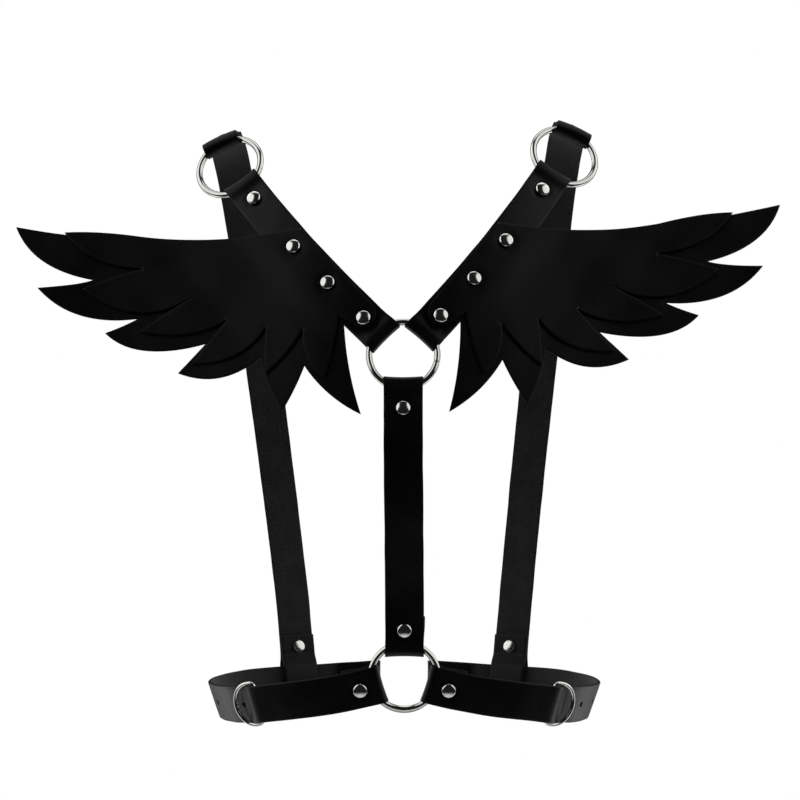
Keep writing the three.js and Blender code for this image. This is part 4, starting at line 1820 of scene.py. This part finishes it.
@dataclass
class ShoulderStrap:
    """The strap over one shoulder and down the chest, looped round the belt.

    Each row is a place of the middle line on the right side and the share of the shoulder ring's
    shift that it follows. way and tilt are the strap's direction at the ring, ring_run and belt_run
    are its straight stretches there and at the belt, and between turn_from and turn_to its
    crosswise direction turns from the ring's to the belt's.
    """

    wing: BackWing
    belt: Belt
    rows: tuple[tuple[float, float, float, float], ...] = (
        (97.5, 0.0, -0.2, 1.0),
        (96.6, 17.0, -3.6, 0.95),
        (94.4, 34.0, -18.0, 0.85),
        (90.0, 51.0, -52.0, 0.65),
        (85.0, 68.0, -101.0, 0.4),
        (78.5, 80.0, -157.0, 0.2),
        (72.0, 83.0, -213.0, 0.0),
    )
    way: Pair = (0.34, 0.94)
    tilt: float = 52.0
    belt_at: float = 61.0
    ring_rivet: float = 29.6
    belt_rivet: float = 5.0
    ring_run: tuple[float, ...] = (-RING_RADIUS, -8.0, 2.0, 12.0, 16.0)
    belt_run: tuple[float, ...] = (48.0, 26.0, 0.0, -14.0)
    turn_from: float = 0.12
    turn_to: float = 0.85
    seed: float = 11.0

    def path(self) -> FreePath:
        """Lays out the strap.

        Returns:
            Its middle line from the shoulder ring to the belt.
        """
        side, normal, centre = self.wing.side, self.wing.ring_normal, self.wing.ring_centre
        belt = self.belt.path(side)
        at = np.array([self.belt.along(belt, side, self.belt_at, True)])
        crossing = belt.frame(at)
        crossed = belt.at(at, np.zeros(1), np.array([LAYER]))[0]
        up = np.array([side.sign * self.way[0], 0.0, self.way[1]])
        up[1] = -(up[0] * normal[0] + up[2] * normal[2]) / normal[1]
        up = unit(up)
        x, z = self.wing.ring_place
        shift_x = side.sign * x - self.wing.end[0]
        shift_z = z - self.wing.form.ring_z - self.wing.end[1]
        tilt = math.radians(self.tilt)
        over = up * math.cos(tilt) - normal * math.sin(tilt)
        wire = centre + up * RING_RADIUS
        places = [wire + over * length for length in self.ring_run]
        for row_x, row_y, row_z, share in self.rows:
            places.append(np.array([side.sign * (row_x + share * shift_x), row_y, row_z + share * shift_z]))
        places += [crossed + crossing.w[0] * length for length in self.belt_run]
        start, end = np.cross(up, normal), np.cross(-crossing.w[0], crossing.n[0])

        def across(u: Array, p: Array, t: Array) -> Array:
            """Crosswise direction, turning from the ring's to the belt's."""
            share = ease(u, self.turn_from, self.turn_to)[..., None]
            return start * (1 - share) + end * share

        return FreePath(Curve(places), across, 1)

    def build(self, bench: Bench) -> None:
        """Makes the strap and its rivets.

        Args:
            bench: Makes the pieces.
        """
        side, path = self.wing.side, self.path()
        loop = path.length - BELT_FOLD.at - BELT_FOLD.close - self.belt_rivet
        strap = Strap(path, SHOULDER_FOLD, BELT_FOLD, self.seed + side.sign, (self.ring_rivet, loop))
        bench.piece(side.named("shoulder_strap"), strap.shell(), bench.finishes.strap)
        set_rivet(bench, side.named("shoulder_rivet"), path, self.ring_rivet)
        set_rivet(bench, side.named("front_rivet"), path, loop)


@dataclass(frozen=True)
class Panel:
    """A soft round light panel: its direction, strength, and where its edge begins and ends in degrees."""

    way: Triple
    strength: float
    inner: float
    outer: float

    def seen(self, s: Shader, way: Signal) -> Signal:
        """Writes the panel's light.

        Args:
            s: The world's shader.
            way: Directions in the world.

        Returns:
            The light from each direction.
        """
        settings, mid = {"operation": "DOT_PRODUCT"}, tuple(unit(np.array(self.way)).tolist())
        near = s.node("ShaderNodeVectorMath", settings, {0: way, 1: mid}, output="Value")
        low, high = math.cos(math.radians(self.outer)), math.cos(math.radians(self.inner))
        return s.spread(near, low, high) * self.strength


@dataclass
class Studio:
    """Camera, floor and soft studio light, in metres.

    backdrop is the light from beyond the harness, which fades in over backdrop_edge and is held
    back by behind in the middle, and shade is the little light that is everywhere.
    """

    eye: Triple = (-0.0017, -1.698, -0.1493)
    lens: float = 134.6
    floor_z: float = -0.6
    floor_radii: Triple = (0.2, 0.4, 0.6)
    floor_sides: int = 96
    backdrop: float = 1.5
    backdrop_edge: Pair = (0.0, 0.45)
    behind: float = 1.25
    behind_edge: Pair = (0.2, 0.7)
    middle_edge: Pair = (0.16, 0.55)
    shade: float = 0.012
    panels: tuple[Panel, ...] = (
        Panel((-0.85, -0.24, 0.47), 1.05, 31.0, 38.0),
        Panel((0.85, -0.24, 0.47), 0.95, 31.0, 38.0),
        Panel((-0.66, 0.16, -0.73), 0.9, 12.0, 22.0),
        Panel((0.66, 0.16, -0.73), 0.9, 12.0, 22.0),
        Panel((0.0, -0.36, -0.93), 1.0, 8.0, 23.0),
        Panel((0.0, 0.30, 0.95), 1.0, 16.0, 26.0),
    )

    def build(self) -> None:
        """Sets up the camera, the floor and the light."""
        self.camera()
        self.floor()
        self.light()
        bpy.context.scene.view_settings.view_transform = "Standard"

    def camera(self) -> None:
        """Puts the camera level behind the harness."""
        data = bpy.data.cameras.new("camera")
        data.lens = self.lens
        data.sensor_width = 36.0
        data.clip_end = 50.0
        made = put_in_scene("camera", data)
        made.location = self.eye
        made.rotation_euler = (math.pi / 2, 0.0, 0.0)
        bpy.context.scene.camera = made

    def floor(self) -> None:
        """Lays a pale round floor below the harness."""
        count = self.floor_sides
        points = [(0.0, 0.0, self.floor_z)]
        for r in self.floor_radii:
            points += [(r * math.cos(a), r * math.sin(a), self.floor_z) for a in full_turn(count)]
        faces: list[Sequence[int]] = [(0, 1 + k, 1 + (k + 1) % count) for k in range(count)]
        for i in range(len(self.floor_radii) - 1):
            a, b = 1 + i * count, 1 + (i + 1) * count
            faces += [(a + k, b + k, b + (k + 1) % count, a + (k + 1) % count) for k in range(count)]
        mesh = bpy.data.meshes.new("floor")
        mesh.from_pydata(points, [], faces)
        mesh.materials.append(FloorFinish("floor_pale").material())
        put_in_scene("floor", mesh)

    def light(self) -> None:
        """Surrounds the harness with a white backdrop and soft panels, dark towards the camera."""
        world = bpy.data.worlds.new("studio")
        bpy.context.scene.world = world
        s = Shader(world)
        way = s.node("ShaderNodeTexCoord", output="Generated")
        forward = s.node("ShaderNodeSeparateXYZ", {}, {0: way}, output="Y")
        right = s.node("ShaderNodeSeparateXYZ", {}, {0: way}, output="X")
        middle = 1.0 - s.spread(right * right, *self.middle_edge)
        glow = self.shade + s.spread(forward, *self.backdrop_edge) * self.backdrop
        glow = glow - s.spread(forward, *self.behind_edge) * middle * self.behind
        for panel in self.panels:
            glow = glow + panel.seen(s, way)
        seen = s.node("ShaderNodeLightPath", output="Is Camera Ray")
        level = glow * (1.0 - seen) + seen
        light = s.node("ShaderNodeBackground", {}, {"Color": (1.0, 1.0, 1.0, 1.0), "Strength": level})
        s.node("ShaderNodeOutputWorld", {}, {"Surface": light})


def main() -> None:
    """Sets up the studio, then builds the harness piece by piece."""
    logging.basicConfig(level=logging.INFO, format="%(name)s %(message)s")
    bench, form, belt = Bench(), BackForm(), Belt()
    rings = Rings(form)
    Studio().build()
    rings.build(bench)
    Spine(rings).build(bench)
    for side in Side:
        wing = BackWing(form, side)
        wing.build(bench)
        ShoulderStrap(wing, belt).build(bench)
    belt.build(bench)
    LOG.info("%d pieces made", len(bench.made))


if __name__ == "__main__":
    main()
